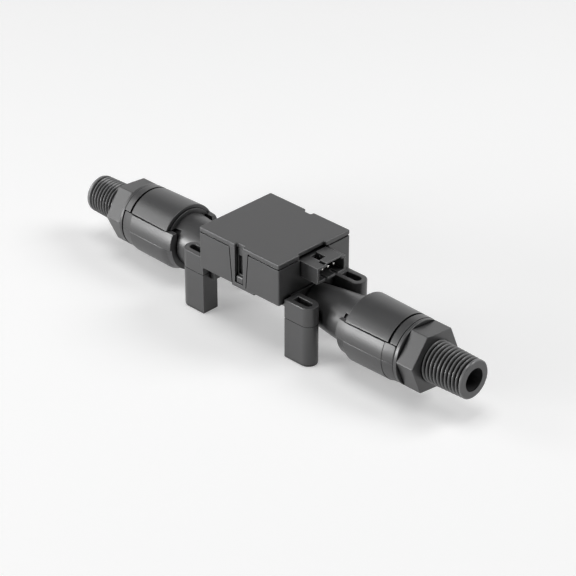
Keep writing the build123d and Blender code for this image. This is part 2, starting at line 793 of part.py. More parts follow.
pieces = {
    "housing": housing, "top_cover": top_cover, "circuit_board": circuit_board, "board_screws": board_screws,
    "sensor_gasket": sensor_gasket, "sensor_package": sensor_package, "sensor_chip": sensor_chip,
    "sensor_leads": sensor_leads, "sensor_clamp": sensor_clamp, "clamp_screws": clamp_screws,
    "amplifier": amplifier, "voltage_regulator": voltage_regulator, "capacitors": capacitors,
    "resistors": resistors, "connector_body": connector_body, "flow_restrictor": flow_restrictor}
for name, y in zip(("supply_pin", "ground_pin", "signal_pin"), pin_places):
    pieces[name] = make_pin(y)
for end, side, hex_turn in (("inlet", -1, inlet_hex_turn), ("outlet", 1, outlet_hex_turn)):
    pieces[end + "_screen"] = make_screen(side)
    pieces[end + "_straightener"] = make_straightener(side)
    pieces[end + "_spacer"] = make_spacer(side)
    pieces[end + "_adapter"] = make_adapter(side, hex_turn)
    pieces[end + "_seal"] = make_seal(side)
    pieces[end + "_clip"] = make_clip(side)

os.makedirs("parts", exist_ok=True)
for name, piece in pieces.items():
    piece.part.label = name
    export_step(piece.part, f"parts/{name}.step")
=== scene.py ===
import json
from contextlib import contextmanager
from math import cos, pi, radians, sin, sqrt, tan

import bpy
from mathutils import Matrix, Vector


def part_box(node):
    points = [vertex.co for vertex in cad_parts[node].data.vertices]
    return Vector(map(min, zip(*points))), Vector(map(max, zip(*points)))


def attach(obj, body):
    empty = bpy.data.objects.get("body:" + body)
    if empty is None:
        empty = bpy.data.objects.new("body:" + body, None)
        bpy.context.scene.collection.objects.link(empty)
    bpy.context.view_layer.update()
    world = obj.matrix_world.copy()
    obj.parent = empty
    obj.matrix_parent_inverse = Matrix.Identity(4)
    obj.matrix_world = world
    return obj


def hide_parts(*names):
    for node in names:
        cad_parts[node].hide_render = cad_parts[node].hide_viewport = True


bl_info = {
    "name": "Air flow sensor",
    "version": (1, 0, 0),
    "blender": (4, 5, 0),
    "location": "3D view > Sidebar > Air flow",
    "description": "Models and finishes an in-line air flow sensor around its packed parts",
    "category": "Object",
}

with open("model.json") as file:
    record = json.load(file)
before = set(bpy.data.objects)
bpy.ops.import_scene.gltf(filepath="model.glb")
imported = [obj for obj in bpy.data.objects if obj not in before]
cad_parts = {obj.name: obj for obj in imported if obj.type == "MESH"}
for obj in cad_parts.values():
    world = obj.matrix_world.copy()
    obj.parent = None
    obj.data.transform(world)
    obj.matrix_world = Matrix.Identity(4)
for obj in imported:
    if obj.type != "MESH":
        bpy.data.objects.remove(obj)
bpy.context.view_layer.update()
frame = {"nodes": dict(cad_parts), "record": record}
ADAPTER_LOW, ADAPTER_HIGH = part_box("outlet_adapter")
CLIP_LOW, CLIP_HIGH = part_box("outlet_clip")
COVER_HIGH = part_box("top_cover")[1]
HOUSING_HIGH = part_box("housing")[1]
PLUG_LOW, PLUG_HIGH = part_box("connector_body")

# Heights above the feet and stations along the pipe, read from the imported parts
AXIS = (ADAPTER_LOW.z + ADAPTER_HIGH.z) / 2
TIP = ADAPTER_HIGH.x
SPIGOT_TIP = ADAPTER_LOW.x
CLIP_START, CLIP_END = CLIP_LOW.x, CLIP_HIGH.x
CLIP_TOP = CLIP_HIGH.z
HOOD_END = HOUSING_HIGH.x
BOX_X, BOX_Y = COVER_HIGH.x, COVER_HIGH.y
BOX_TOP, TRAY_TOP = COVER_HIGH.z, HOUSING_HIGH.z

MM = 0.001
# How far cutting tools run past what they cut
PAST = MM
# Gap between pieces that fit together, and rounding of the smallest edges
FIT, FINE = 0.1 * MM, 0.12 * MM
# Facets of a full turn, distances at which points merge or count as level, and the angle of smooth shading
FACETS = 96
MERGE, CLOSE = 1e-7, 1e-6
SMOOTH = radians(40)
# Ending of the finishes' names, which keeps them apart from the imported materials
FINISH = "_finish"

# Azimuth and elevation in degrees and power in watts of each lamp, and what all lamps share
LAMPS = {"key_lamp": (-28, 5, 10.6), "left_lamp": (-62, 28, 1.8),
         "top_lamp": (0, 85, 3.3), "back_lamp": (140, 45, 3.8)}
LAMP_DISTANCE, LAMP_WIDTH = 1.0, 0.5
# Share of white that the floor glows with where it is seen directly, and strength of the world's fill
FLOOR_GLOW, WORLD_FILL = 0.32, 0.03


def size(label, about, millimetres):
    """A length that a user may change, given in millimetres."""
    return bpy.props.FloatProperty(name=label, description=about, default=millimetres * MM, min=0.0,
                                   subtype="DISTANCE", unit="LENGTH", precision=5)


def shade(label, about, level):
    """A colour that a user may change, given as a linear level or three of them."""
    colour = level if isinstance(level, tuple) else (level, level, level * 1.02)
    return bpy.props.FloatVectorProperty(name=label, description=about, default=colour, size=3,
                                         min=0.0, max=1.0, subtype="COLOR")


class TubeSizes(bpy.types.PropertyGroup):
    tube_radius: size("Tube radius", "Outer radius of the flow tube under the box", 6.1)
    neck_start: size("Neck start", "Station where the tube starts to widen", 18.3)
    neck_end_radius: size("Neck end radius", "Outer radius where the neck meets the socket", 8.6)
    neck_bulge: size("Neck bulge", "How far the neck swells past a straight cone", 0.15)
    bead_radius: size("Bead radius", "Radius of the bead at the socket's foot", 10.1)
    bead_width: size("Bead width", "Width of that bead", 0.6)
    shoulder: size("Shoulder", "Station where the socket starts", 40.0)
    mouth: size("Mouth", "Station of the socket's mouth", 57.0)
    socket_radius: size("Socket radius", "Outer radius of the socket under the clip", 8.5)
    socket_bore: size("Socket bore", "Radius of the socket's bore", 6.5)
    socket_lead: size("Socket lead", "Chamfer at the socket's mouth", 0.4)
    stack_start: size("Stack start", "Station where the bore steps out to take the screen", 40.5)
    channel_radius: size("Channel radius", "Bore radius before the step", 6.0)
    throat_radius: size("Throat radius", "Bore radius under the box", 4.0)
    seat_radius: size("Seat radius", "Radius that the clip sits on", 7.7)
    seat_start: size("Seat start", "Station where the clip's seat starts", 36.7)


class RoofSizes(bpy.types.PropertyGroup):
    rise: size("Rise", "Height of the roof's lower edge above the pipe axis", 5.9)
    radius: size("Radius", "Outer radius at the shoulder", 11.45)
    hood_radius: size("Hood radius", "Outer radius at the hood's rim", 11.0)
    hood_bore: size("Hood bore", "Inner radius of the hood over the flange", 8.6)
    inner_radius: size("Inner radius", "Radius at which the roof merges with the socket", 7.5)
    groove_start: size("Groove start", "Station of the ring groove", 57.2)
    groove_width: size("Groove width", "Width of the ring groove", 0.85)
    groove_depth: size("Groove depth", "Depth of the ring groove", 0.7)
    edge: size("Edge", "Rounding of the roof's outer edges", 0.3)


class BoxSizes(bpy.types.PropertyGroup):
    bottom: size("Bottom", "Height of the box's underside above the feet", 18.8)
    wall: size("Wall", "Thickness of the box's walls", 1.6)
    floor: size("Floor", "Thickness of the box's floor", 1.9)
    corner: size("Corner", "Rounding of the upright corners", 0.5)
    edge: size("Edge", "Rounding of the box's lower edges", 0.18)
    seam: size("Seam", "Step that leaves a dark line under the cover", 0.45)
    keel_x: size("Keel length", "Half length of the keel under the box", 5.0)
    keel_y: size("Keel width", "Half width of the keel under the box", 14.2)
    keel_depth: size("Keel depth", "How far the keel hangs below the box", 2.1)
    tab_top: size("Tab top", "Half width of a snap tab under the cover", 4.15)
    tab_bottom: size("Tab bottom", "Half width of a snap tab at its end", 2.8)
    tab_gap: size("Tab gap", "Gap on each side of a snap tab", 0.28)
    tab_thickness: size("Tab thickness", "Thickness of a snap tab", 1.2)
    tab_backing: size("Tab backing", "Thickness of the wall behind a snap tab", 1.2)
    tab_backing_x: size("Backing width", "Half width of the wall behind a snap tab", 5.5)
    window: size("Window", "Half width of the tab's window", 1.75)
    sill: size("Sill", "Height of the bar under the window", 0.9)
    notch: size("Notch", "How far the window cuts into the cover's top", 1.3)
    lug_x: size("Lug width", "Half width of the catch in the window", 1.3)
    lug_height: size("Lug height", "Height of the catch", 2.4)
    lug_reach: size("Lug reach", "How far the catch stands out", 0.95)
    lug_round: size("Lug rounding", "Rounding of the catch's top", 0.8)
    hole_gap: size("Hole gap", "Distance of the hole above the catch", 0.3)
    hole_top: size("Hole top", "Distance of the hole from the tray's rim", 2.6)
    hole_depth: size("Hole depth", "Depth of the blind hole behind a snap tab", 0.96)
    cover_edge: size("Cover edge", "Rounding of the cover's edges", 0.34)
    cover_cut_left: size("Cut left", "Cut over the connector, towards the front", 6.6)
    cover_cut_right: size("Cut right", "Cut over the connector, towards the back", 5.0)
    cover_cut_depth: size("Cut depth", "Depth of the cut over the connector", 1.0)


class FootSizes(bpy.types.PropertyGroup):
    length: size("Length", "Length of a foot along the pipe", 10.5)
    width: size("Width", "Width of a foot", 6.25)
    inner: size("Inner side", "Distance of a foot's inner side from the middle", 7.85)
    rise: size("Rise", "Height of a foot's top above the pipe axis", 6.5)
    wall: size("Wall", "Wall round the pocket in a foot's top", 1.85)
    line_depth: size("Line depth", "Depth of the moulding line", 0.16)
    line_width: size("Line width", "Width of the moulding line", 0.24)
    pocket: size("Pocket", "Depth of the pocket", 7.5)
    pilot_radius: size("Pilot radius", "Radius of the screw hole under a foot", 1.3)
    pilot_depth: size("Pilot depth", "Depth of the screw hole under a foot", 9.0)
    edge: size("Edge", "Rounding of a foot's rims", 0.3)
    web: size("Web", "Thickness of the web between two feet", 2.0)
    web_drop: size("Web drop", "How far the web reaches below the pipe axis", 2.3)
    bridge: size("Bridge", "Thickness of the wall that joins feet and box", 1.5)


class AdapterSizes(bpy.types.PropertyGroup):
    bore: size("Bore", "Radius of the air passage", 3.65)
    bore_edge: size("Bore edge", "Chamfer at the passage's end", 0.18)
    spigot: size("Spigot", "Radius of the spigot in the socket", 6.45)
    seal_start: size("Seal start", "Station where the seal's groove starts", 51.9)
    seal_end: size("Seal end", "Station where the seal's groove ends", 54.3)
    seal_depth: size("Seal depth", "Depth of the seal's groove", 1.25)
    flange_start: size("Flange start", "Station where the flange starts", 57.1)
    flange_end: size("Flange end", "Station where the flange ends", 58.9)
    flange_radius: size("Flange radius", "Radius of the flange", 8.3)
    waist_radius: size("Waist radius", "Radius between flange and collar", 6.6)
    collar_start: size("Collar start", "Station where the collar starts", 60.75)
    collar_radius: size("Collar radius", "Radius of the collar", 10.9)
    hex_start: size("Hexagon start", "Station where the hexagon starts", 62.0)
    hex_end: size("Hexagon end", "Station where the hexagon ends", 68.4)
    hex_flats: size("Hexagon flats", "Width across the hexagon's flats", 19.0)
    hex_edge: size("Hexagon edge", "Rounding of the hexagon's edges", 0.22)
    hex_bevel: size("Hexagon bevel", "Chamfer of the hexagon's corners", 0.35)
    pitch: size("Pitch", "Pitch of the pipe thread", 25.4 / 18)
    thread_end: size("Thread end", "Crest radius of the thread at its tip", 6.39)
    thread_depth: size("Thread depth", "Depth of the thread", 0.9)
    crest: size("Crest", "Flat on the thread's crests", 0.2)
    runout: size("Run-out", "Length over which the thread fades out at each end", 0.6)
    land: size("Land", "Plain length at the thread's tip", 0.75)
    taper: bpy.props.FloatProperty(name="Taper", description="Growth of the thread's radius per length",
                                   default=1 / 32, min=0.0)
    outlet_turn: bpy.props.FloatProperty(name="Outlet turn", description="Turn of the outlet's hexagon",
                                         default=radians(-7.3), subtype="ANGLE", unit="ROTATION")
    inlet_turn: bpy.props.FloatProperty(name="Inlet turn", description="Turn of the inlet's hexagon",
                                        default=radians(-4.8), subtype="ANGLE", unit="ROTATION")


class ClipSizes(bpy.types.PropertyGroup):
    neck_radius: size("Neck radius", "Outer radius of the upper half at the end by the neck", 11.05)
    end_radius: size("End radius", "Outer radius of the lower half at the end by the neck", 10.35)
    ramp_radius: size("Ramp radius", "Outer radius of the lower half before the ramp", 10.7)
    radius: size("Radius", "Largest outer radius", 11.55)
    outer_radius: size("Outer radius", "Outer radius where the last zone starts", 11.2)
    tip_radius: size("Tip radius", "Outer radius by the hexagon", 10.8)
    ramp_start: size("Ramp start", "Distance of the ramp's start from the clip's end", 2.2)
    ramp_end: size("Ramp end", "Distance of the ramp's end from the clip's end", 4.2)
    zone: size("Zone", "Length of the last zone by the hexagon", 4.2)
    zone_step: size("Zone step", "Step where the last zone starts", 0.18)
    tip_edge: size("Tip edge", "Chamfer at the end by the hexagon", 0.3)
    corner: size("Corner", "Rounding of the upper corner by the hexagon, seen from the side", 1.2)
    neck_corner: size("Neck corner", "Rounding of the upper corner by the neck, seen from the side", 0.25)
    clearance: size("Clearance", "Clearance all round the socket", 0.3)
    end_wall: size("End wall", "Thickness of the wall by the neck", 2.7)
    lock: size("Lock", "Thickness of the wall behind the flange", 1.4)
    edge: size("Edge", "Rounding of the clip's edges", 0.28)
    line_depth: size("Line depth", "Depth of the moulding line", 0.12)
    line_width: size("Line width", "Half width of the moulding line", 0.14)


class ConnectorSizes(bpy.types.PropertyGroup):
    wall: size("Wall", "Wall round the cavity", 0.8)
    height: size("Height", "Height of the connector without its bridge", 5.55)
    cavity: size("Cavity", "Depth of the cavity", 5.5)
    keyway_left: size("Keyway left", "Keyway in the cavity's roof, towards the front", 2.0)
    keyway_right: size("Keyway right", "Keyway in the cavity's roof, towards the back", 4.5)
    bridge_left: size("Bridge left", "Raised bar, towards the front", 2.4)
    bridge_right: size("Bridge right", "Raised bar, towards the back", 4.9)
    bridge_bar: size("Bridge bar", "Width of the raised bar", 2.9)
    latch_left: size("Latch left", "Latch slot, towards the front", 2.0)
    latch_right: size("Latch right", "Latch slot, towards the back", 0.4)
    latch_start: size("Latch start", "Distance of the latch slot from the box", 0.2)
    latch_depth: size("Latch depth", "Depth of the latch slot below the connector's roof", 2.8)
    relief: size("Relief", "Width of the relief beside the raised bar", 0.6)
    lip_slot: size("Lip slot", "Half width of a slot in the lower lip", 0.6)
    lip_slot_depth: size("Lip slot depth", "Depth of a slot in the lower lip", 3.0)
    lip_slot_y: size("Lip slot place", "Distance of a lip slot from the middle", 2.3)
    edge: size("Edge", "Rounding of the connector's edges", 0.2)


class Finishes(bpy.types.PropertyGroup):
    housing: shade("Housing", "Colour of the housing's plastic", 0.047)
    cover: shade("Cover", "Colour of the cover's plastic", 0.053)
    clip: shade("Clips", "Colour of the clips' plastic", 0.043)
    adapter: shade("Adapters", "Colour of the adapters' plastic", 0.047)
    connector: shade("Connector", "Colour of the connector's plastic", 0.04)
    inner: shade("Inner plastic", "Colour of the plastic inside the tube", 0.012)
    board: shade("Board", "Colour of the circuit board", (0.02, 0.12, 0.05))
    rubber: shade("Rubber", "Colour of the seals", 0.015)
    ceramic: shade("Ceramic", "Colour of the sensor's package", (0.62, 0.6, 0.55))
    steel: shade("Steel", "Colour of the screws and screens", (0.52, 0.52, 0.51))
    # The contacts' tin is kept far darker than bare tin, as painted shade that dims their reflections.
    tin: shade("Tin", "Colour of the contacts", (0.24, 0.235, 0.225))
    epoxy: shade("Epoxy", "Colour of the black components", (0.02, 0.02, 0.021))
    capacitor: shade("Capacitors", "Colour of the capacitors", (0.38, 0.27, 0.16))
    silicon: shade("Silicon", "Colour of the sensing chip", (0.18, 0.19, 0.23))


class StageSizes(bpy.types.PropertyGroup):
    target: bpy.props.FloatVectorProperty(name="Target", description="Point in the middle of the picture",
                                          default=(0.0039565, 0.0020374, 0.0122586), subtype="TRANSLATION")
    azimuth: bpy.props.FloatProperty(name="Azimuth", description="Turn of the camera round the sensor",
                                     default=radians(44.596), subtype="ANGLE", unit="ROTATION")
    elevation: bpy.props.FloatProperty(name="Elevation", description="Height of the camera as an angle",
                                       default=radians(30.628), subtype="ANGLE", unit="ROTATION")
    distance: size("Distance", "Distance of the camera from its target", 727.256)
    lens: bpy.props.FloatProperty(name="Lens", description="Focal length of the camera in millimetres",
                                  default=142.68, min=1.0)
    floor_half: size("Floor", "Half width of the floor", 6000.0)
    floor_colour: shade("Floor colour", "Colour of the floor", (0.8, 0.8, 0.8))


SECTIONS = {
    "sensor_tube": TubeSizes, "sensor_roof": RoofSizes, "sensor_box": BoxSizes, "sensor_foot": FootSizes,
    "sensor_adapter": AdapterSizes, "sensor_clip": ClipSizes, "sensor_connector": ConnectorSizes,
    "sensor_finish": Finishes, "sensor_stage": StageSizes,
}


# Modelling helpers

def pick(piece):
    """Selects one piece alone and makes it the active one."""
    bpy.ops.object.select_all(action="DESELECT")
    piece.select_set(True)
    bpy.context.view_layer.objects.active = piece


@contextmanager
def editing(piece):
    """Edit mode on one piece with all of it selected, and object mode again afterwards."""
    pick(piece)
    bpy.ops.object.mode_set(mode="EDIT")
    bpy.ops.mesh.select_all(action="SELECT")
    yield
    bpy.ops.object.mode_set(mode="OBJECT")


def face_outwards():
    """Turns all normals of the piece in edit mode outwards."""
    bpy.ops.mesh.select_all(action="SELECT")
    bpy.ops.mesh.normals_make_consistent(inside=False)


def new_piece(name, kind, **settings):
    """A new primitive with its place, turn and size applied to its mesh."""
    bpy.ops.object.select_all(action="DESELECT")
    getattr(bpy.ops.mesh, f"primitive_{kind}_add")(**settings)
    piece = bpy.context.object
    piece.name = piece.data.name = name
    bpy.ops.object.transform_apply(location=True, rotation=True, scale=True)
    return piece


def outline_piece(name, points, filled):
    """A new piece whose mesh is a closed outline through the points, as a loop of edges or as one face."""
    piece = new_piece(name, "circle", vertices=len(points), fill_type="NGON" if filled else "NOTHING")
    for vertex, point in zip(piece.data.vertices, points):
        vertex.co = point
    return piece


def spun(name, outline, steps=FACETS):
    """A closed ring: the outline of stations and radii, spun once about the pipe axis."""
    piece = outline_piece(name, [(x, 0, AXIS + r) for x, r in outline], filled=False)
    with editing(piece):
        bpy.ops.mesh.spin(steps=steps, angle=2 * pi, center=(0, 0, AXIS), axis=(1, 0, 0), use_auto_merge=True)
        bpy.ops.mesh.select_all(action="SELECT")
        bpy.ops.mesh.remove_doubles(threshold=MERGE)
        face_outwards()
    return piece


def prism(name, points, along):
    """A solid made from one flat face that is extruded along a vector."""
    piece = outline_piece(name, points, filled=True)
    with editing(piece):
        bpy.ops.mesh.extrude_region_move(TRANSFORM_OT_translate={"value": along})
        face_outwards()
    return piece


def side_prism(name, points, half_width):
    """A prism seen from the side: stations and heights, as wide as twice half_width across the pipe."""
    return prism(name, [(x, -half_width, z) for x, z in points], (0, 2 * half_width, 0))


def block(name, low, high):
    """A box between two corners."""
    centre = [(a + b) / 2 for a, b in zip(low, high)]
    return new_piece(name, "cube", size=1, location=centre, scale=[b - a for a, b in zip(low, high)])


def side_block(name, half_x, side, near, far, low, high):
    """A box across the middle of a long side, between two distances from the middle plane and two heights."""
    first, last = sorted((side * near, side * far))
    return block(name, (-half_x, first, low), (half_x, last, high))


def rod(name, radius, start, end, facets=64, start_radius=None):
    """A round bar, or a cone where start_radius is given, between two points on a straight axis."""
    start, end = Vector(start), Vector(end)
    return new_piece(name, "cone", vertices=facets, radius1=radius if start_radius is None else start_radius,
                     radius2=radius, depth=(end - start).length, location=(start + end) / 2,
                     rotation=(end - start).to_track_quat("Z", "Y").to_euler())


def apply_modifier(piece, kind, **settings):
    """Adds a modifier with its settings and applies it."""
    modifier = piece.modifiers.new(kind.lower(), kind)
    for name, value in settings.items():
        setattr(modifier, name, value)
    pick(piece)
    bpy.ops.object.modifier_apply(modifier=modifier.name)


def combine(piece, tools, operation):
    """Cuts away, adds or keeps only what the tools hold, and deletes the tools."""
    for tool in tools:
        apply_modifier(piece, "BOOLEAN", object=tool, operation=operation, solver="EXACT")
        bpy.data.objects.remove(tool)
    return piece


def bisect(piece, height, keep_top):
    """Keeps the part of a piece above or below a height and closes it there."""
    with editing(piece):
        bpy.ops.mesh.bisect(plane_co=(0, 0, height), plane_no=(0, 0, 1), use_fill=True,
                            clear_inner=keep_top, clear_outer=not keep_top, threshold=MERGE)
    return piece


def clean(piece):
    """Merges doubles and joins faces and edges that lie flat in one another."""
    with editing(piece):
        bpy.ops.mesh.remove_doubles(threshold=MERGE)
        bpy.ops.mesh.dissolve_limited(angle_limit=radians(0.5))


def bevel_edges(piece, width, segments=2, angle=50):
    """Rounds every edge that is sharper than the angle."""
    clean(piece)
    apply_modifier(piece, "BEVEL", width=width, segments=segments, limit_method="ANGLE",
                   angle_limit=radians(angle), miter_outer="MITER_ARC", use_clamp_overlap=True)


def soften(piece):
    """Smooth shading with flat faces kept flat."""
    pick(piece)
    bpy.ops.object.shade_smooth_by_angle(angle=SMOOTH)
    apply_modifier(piece, "WEIGHTED_NORMAL", keep_sharp=True, weight=75)


def arc_corner(before, corner, after, radius, steps):
    """Points that round one corner of an outline, no larger than its two sides allow."""
    corner = Vector(corner)
    back, ahead = Vector(before) - corner, Vector(after) - corner
    angle = back.angle(ahead)
    if radius == 0 or angle > pi - 0.02:
        return [tuple(corner)]
    reach = min(radius / tan(angle / 2), 0.45 * back.length, 0.45 * ahead.length)
    start, end = corner + back.normalized() * reach, corner + ahead.normalized() * reach
    shares = [step / steps for step in range(steps + 1)]
    return [tuple(start * (1 - t) ** 2 + corner * 2 * t * (1 - t) + end * t ** 2) for t in shares]


def rounded(corners, radius, steps=3):
    """A closed outline with its corners rounded; a third number at a corner is its own radius."""
    result = []
    for index, corner in enumerate(corners):
        before, after = corners[index - 1], corners[(index + 1) % len(corners)]
        own = corner[2] if len(corner) > 2 else radius
        result += arc_corner(before[:2], corner[:2], after[:2], own, steps)
    return result


def mirrored(points):
    """Outline points of the outlet half with those of the inlet half before them."""
    return [(-p[0], *p[1:]) for p in reversed(points)] + list(points)


def flip_end(piece):
    """Turns a piece of the outlet end half a turn about the upright axis, which makes it the inlet's."""
    piece.data.transform(Matrix.Rotation(pi, 4, "Z"))


def dress(piece, slot):
    """Gives a piece the finish of its material slot."""
    piece.data.materials.clear()
    piece.data.materials.append(bpy.data.materials[slot + FINISH])


def finish_piece(piece, body, slot, *nodes):
    """Shades a piece, gives it its finish and lets it ride on its body in place of its nodes."""
    soften(piece)
    dress(piece, slot)
    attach(piece, body)
    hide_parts(*nodes)


def finish_housing(piece):
    """Finishes one of the pieces that stand for the housing."""
    finish_piece(piece, "sensor_body", "housing_plastic", "housing")


# Finishes

def give(tree, socket, value):
    """Links a socket to another one, or sets it to a value."""
    if isinstance(value, bpy.types.NodeSocket):
        tree.links.new(value, socket)
    else:
        socket.default_value = value


def feed(tree, node, **values):
    """Gives the named inputs of a node their values or links."""
    sockets = {socket.name.lower(): socket for socket in node.inputs}
    for name, value in values.items():
        give(tree, sockets[name.replace("_", " ")], value)
    return node


def add_node(tree, kind, **settings):
    """A node with its settings; a setting that the node itself lacks goes to its input of that name."""
    node = tree.nodes.new(kind)
    for name in [name for name in settings if hasattr(node, name)]:
        setattr(node, name, settings.pop(name))
    return feed(tree, node, **settings)


def object_place(tree):
    """A point's place in object coordinates."""
    return add_node(tree, "ShaderNodeTexCoord").outputs["Object"]


def ramp(tree, source, low, high, start, end):
    """A smooth remap of a value from low..high to start..end."""
    node = add_node(tree, "ShaderNodeMapRange", interpolation_type="SMOOTHSTEP")
    for socket, value in zip(node.inputs, (source, low, high, start, end)):
        give(tree, socket, value)
    return node.outputs[0]


def blend_colours(tree, share, first, second, mode="MIX"):
    """Mixes two colours, each a socket or a value, by a share."""
    node = add_node(tree, "ShaderNodeMix", data_type="RGBA", blend_type=mode)
    for index, value in ((0, share), (6, first), (7, second)):
        give(tree, node.inputs[index], value)
    return node.outputs[2]


def calc(tree, operation, first, second=0.0):
    """A math node on one or two values, each a socket or a number."""
    node = add_node(tree, "ShaderNodeMath", operation=operation)
    for socket, value in zip(node.inputs, (first, second)):
        give(tree, socket, value)
    return node.outputs[0]


def opaque(colour):
    """A colour as the four numbers that a colour socket takes."""
    return (*colour, 1.0)


def new_group(name, inputs, *outputs):
    """An empty shader node group with numbers as inputs and outputs, what it is given, and its end node."""
    group = bpy.data.node_groups.new(name, "ShaderNodeTree")
    for label, value in inputs.items():
        group.interface.new_socket(label, in_out="INPUT", socket_type="NodeSocketFloat").default_value = value
    for label in outputs:
        group.interface.new_socket(label, in_out="OUTPUT", socket_type="NodeSocketFloat")
    return group, group.nodes.new("NodeGroupInput").outputs, group.nodes.new("NodeGroupOutput")


def make_moulded_grain():
    """Fine spark-eroded grain of a mould, with a slow drift in tone: a height, a tone and a gloss."""
    group, given, result = new_group(
        "moulded_grain", {"Scale": 5200.0, "Drift": 0.12, "Rough": 0.06}, "Height", "Tone", "Gloss")
    place = object_place(group)
    fine = add_node(group, "ShaderNodeTexNoise", vector=place, scale=given["Scale"], detail=3.0,
                    roughness=0.6)
    slow = add_node(group, "ShaderNodeTexNoise", vector=place, scale=110.0, detail=4.0, roughness=0.55)
    centred = calc(group, "SUBTRACT", slow.outputs["Fac"], 0.5)
    speckle = calc(group, "SUBTRACT", fine.outputs["Fac"], 0.5)
    both = calc(group, "ADD", centred, calc(group, "MULTIPLY", speckle, 0.5))
    feed(group, result, height=fine.outputs["Fac"],
         tone=calc(group, "ADD", calc(group, "MULTIPLY", both, given["Drift"]), 1.0),
         gloss=calc(group, "MULTIPLY", both, given["Rough"]))


def make_edge_highlight_and_rub():
    """A mask of the edges, painted pale partly as a painted highlight and partly as wear from handling, which
    also leaves them smooth.
    """
    group, given, result = new_group("edge_rub", {"Reach": 0.4 * MM, "Break Up": 0.35}, "Mask")
    likeness = add_node(group, "ShaderNodeVectorMath", operation="DOT_PRODUCT")
    rounding = add_node(group, "ShaderNodeBevel", samples=6, radius=given["Reach"])
    give(group, likeness.inputs[0], rounding.outputs["Normal"])
    give(group, likeness.inputs[1], add_node(group, "ShaderNodeNewGeometry").outputs["Normal"])
    edge = ramp(group, likeness.outputs["Value"], 0.995, 0.86, 0.0, 1.0)
    wear = add_node(group, "ShaderNodeTexNoise", vector=object_place(group), scale=900.0, detail=3.0)
    patches = calc(group, "MULTIPLY", wear.outputs["Fac"], given["Break Up"])
    feed(group, result, mask=calc(group, "MULTIPLY", edge, calc(group, "SUBTRACT", 1.0, patches)))


def make_crevice_shade():
    """A mask from ambient occlusion that is one where a surface lies open and falls to nought in grooves and
    corners, where the finishes darken colour and reflection as painted shade.
    """
    group, given, result = new_group("cavity", {"Reach": 1.8 * MM, "Depth": 0.9}, "Open")
    hidden = add_node(group, "ShaderNodeAmbientOcclusion", samples=8, distance=given["Reach"])
    closed = ramp(group, hidden.outputs["AO"], 0.4, 0.88, 1.0, 0.0)
    feed(group, result, open=calc(group, "SUBTRACT", 1.0, calc(group, "MULTIPLY", closed, given["Depth"])))


def make_thread_crest_highlight():
    """A mask of the crests of a tapered thread round the pipe's axis, which are painted pale as a painted
    highlight.
    """
    group, given, result = new_group(
        "thread_wear", {"Start": 0.068, "Radius": 0.0064, "Taper": 1 / 32}, "Mask")
    place = add_node(group, "ShaderNodeSeparateXYZ", vector=object_place(group)).outputs
    station = calc(group, "ABSOLUTE", place["X"])
    rise = calc(group, "SUBTRACT", place["Z"], AXIS)
    squares = [calc(group, "MULTIPLY", value, value) for value in (place["Y"], rise)]
    radius = calc(group, "SQRT", calc(group, "ADD", *squares))
    growth = calc(group, "MULTIPLY", calc(group, "SUBTRACT", TIP, station), given["Taper"])
    height = calc(group, "SUBTRACT", calc(group, "SUBTRACT", radius, growth), given["Radius"])
    crest = ramp(group, height, -0.3 * MM, -0.04 * MM, 0.0, 1.0)
    beyond = calc(group, "GREATER_THAN", station, given["Start"])
    feed(group, result, mask=calc(group, "MULTIPLY", crest, beyond))


def make_fine_scratches():
    """Hair-thin scuffs in two directions, as a mask."""
    group, given, result = new_group("fine_scratches", {"Scale": 900.0, "Amount": 0.3}, "Mask")
    place = object_place(group)
    masks = []
    for turn, stretch in ((0.5, (0.04, 1.0, 1.0)), (2.1, (1.0, 0.05, 1.0))):
        turned = feed(group, add_node(group, "ShaderNodeMapping"), vector=place, rotation=(turn, turn, turn),
                      scale=stretch).outputs["Vector"]
        hair = add_node(group, "ShaderNodeTexNoise", vector=turned, scale=given["Scale"], detail=2.0)
        masks.append(ramp(group, hair.outputs["Fac"], 0.66, 0.74, 0.0, 1.0))
    feed(group, result, mask=calc(group, "MULTIPLY", calc(group, "MAXIMUM", *masks), given["Amount"]))


def use_group(tree, name, **values):
    """Places a shared group in a material with its named inputs, and gives its outputs."""
    node = tree.nodes.new("ShaderNodeGroup")
    node.node_tree = bpy.data.node_groups[name]
    return feed(tree, node, **values).outputs


def new_finish(name):
    """A material with its shader, and the tree to build on."""
    material = bpy.data.materials.new(name + FINISH)
    material.use_nodes = True
    return material.node_tree, material.node_tree.nodes["Principled BSDF"]


def bump(tree, height, distance, strength=1.0):
    """A normal that follows a height."""
    node = tree.nodes.new("ShaderNodeBump")
    return feed(tree, node, height=height, distance=distance, strength=strength).outputs["Normal"]


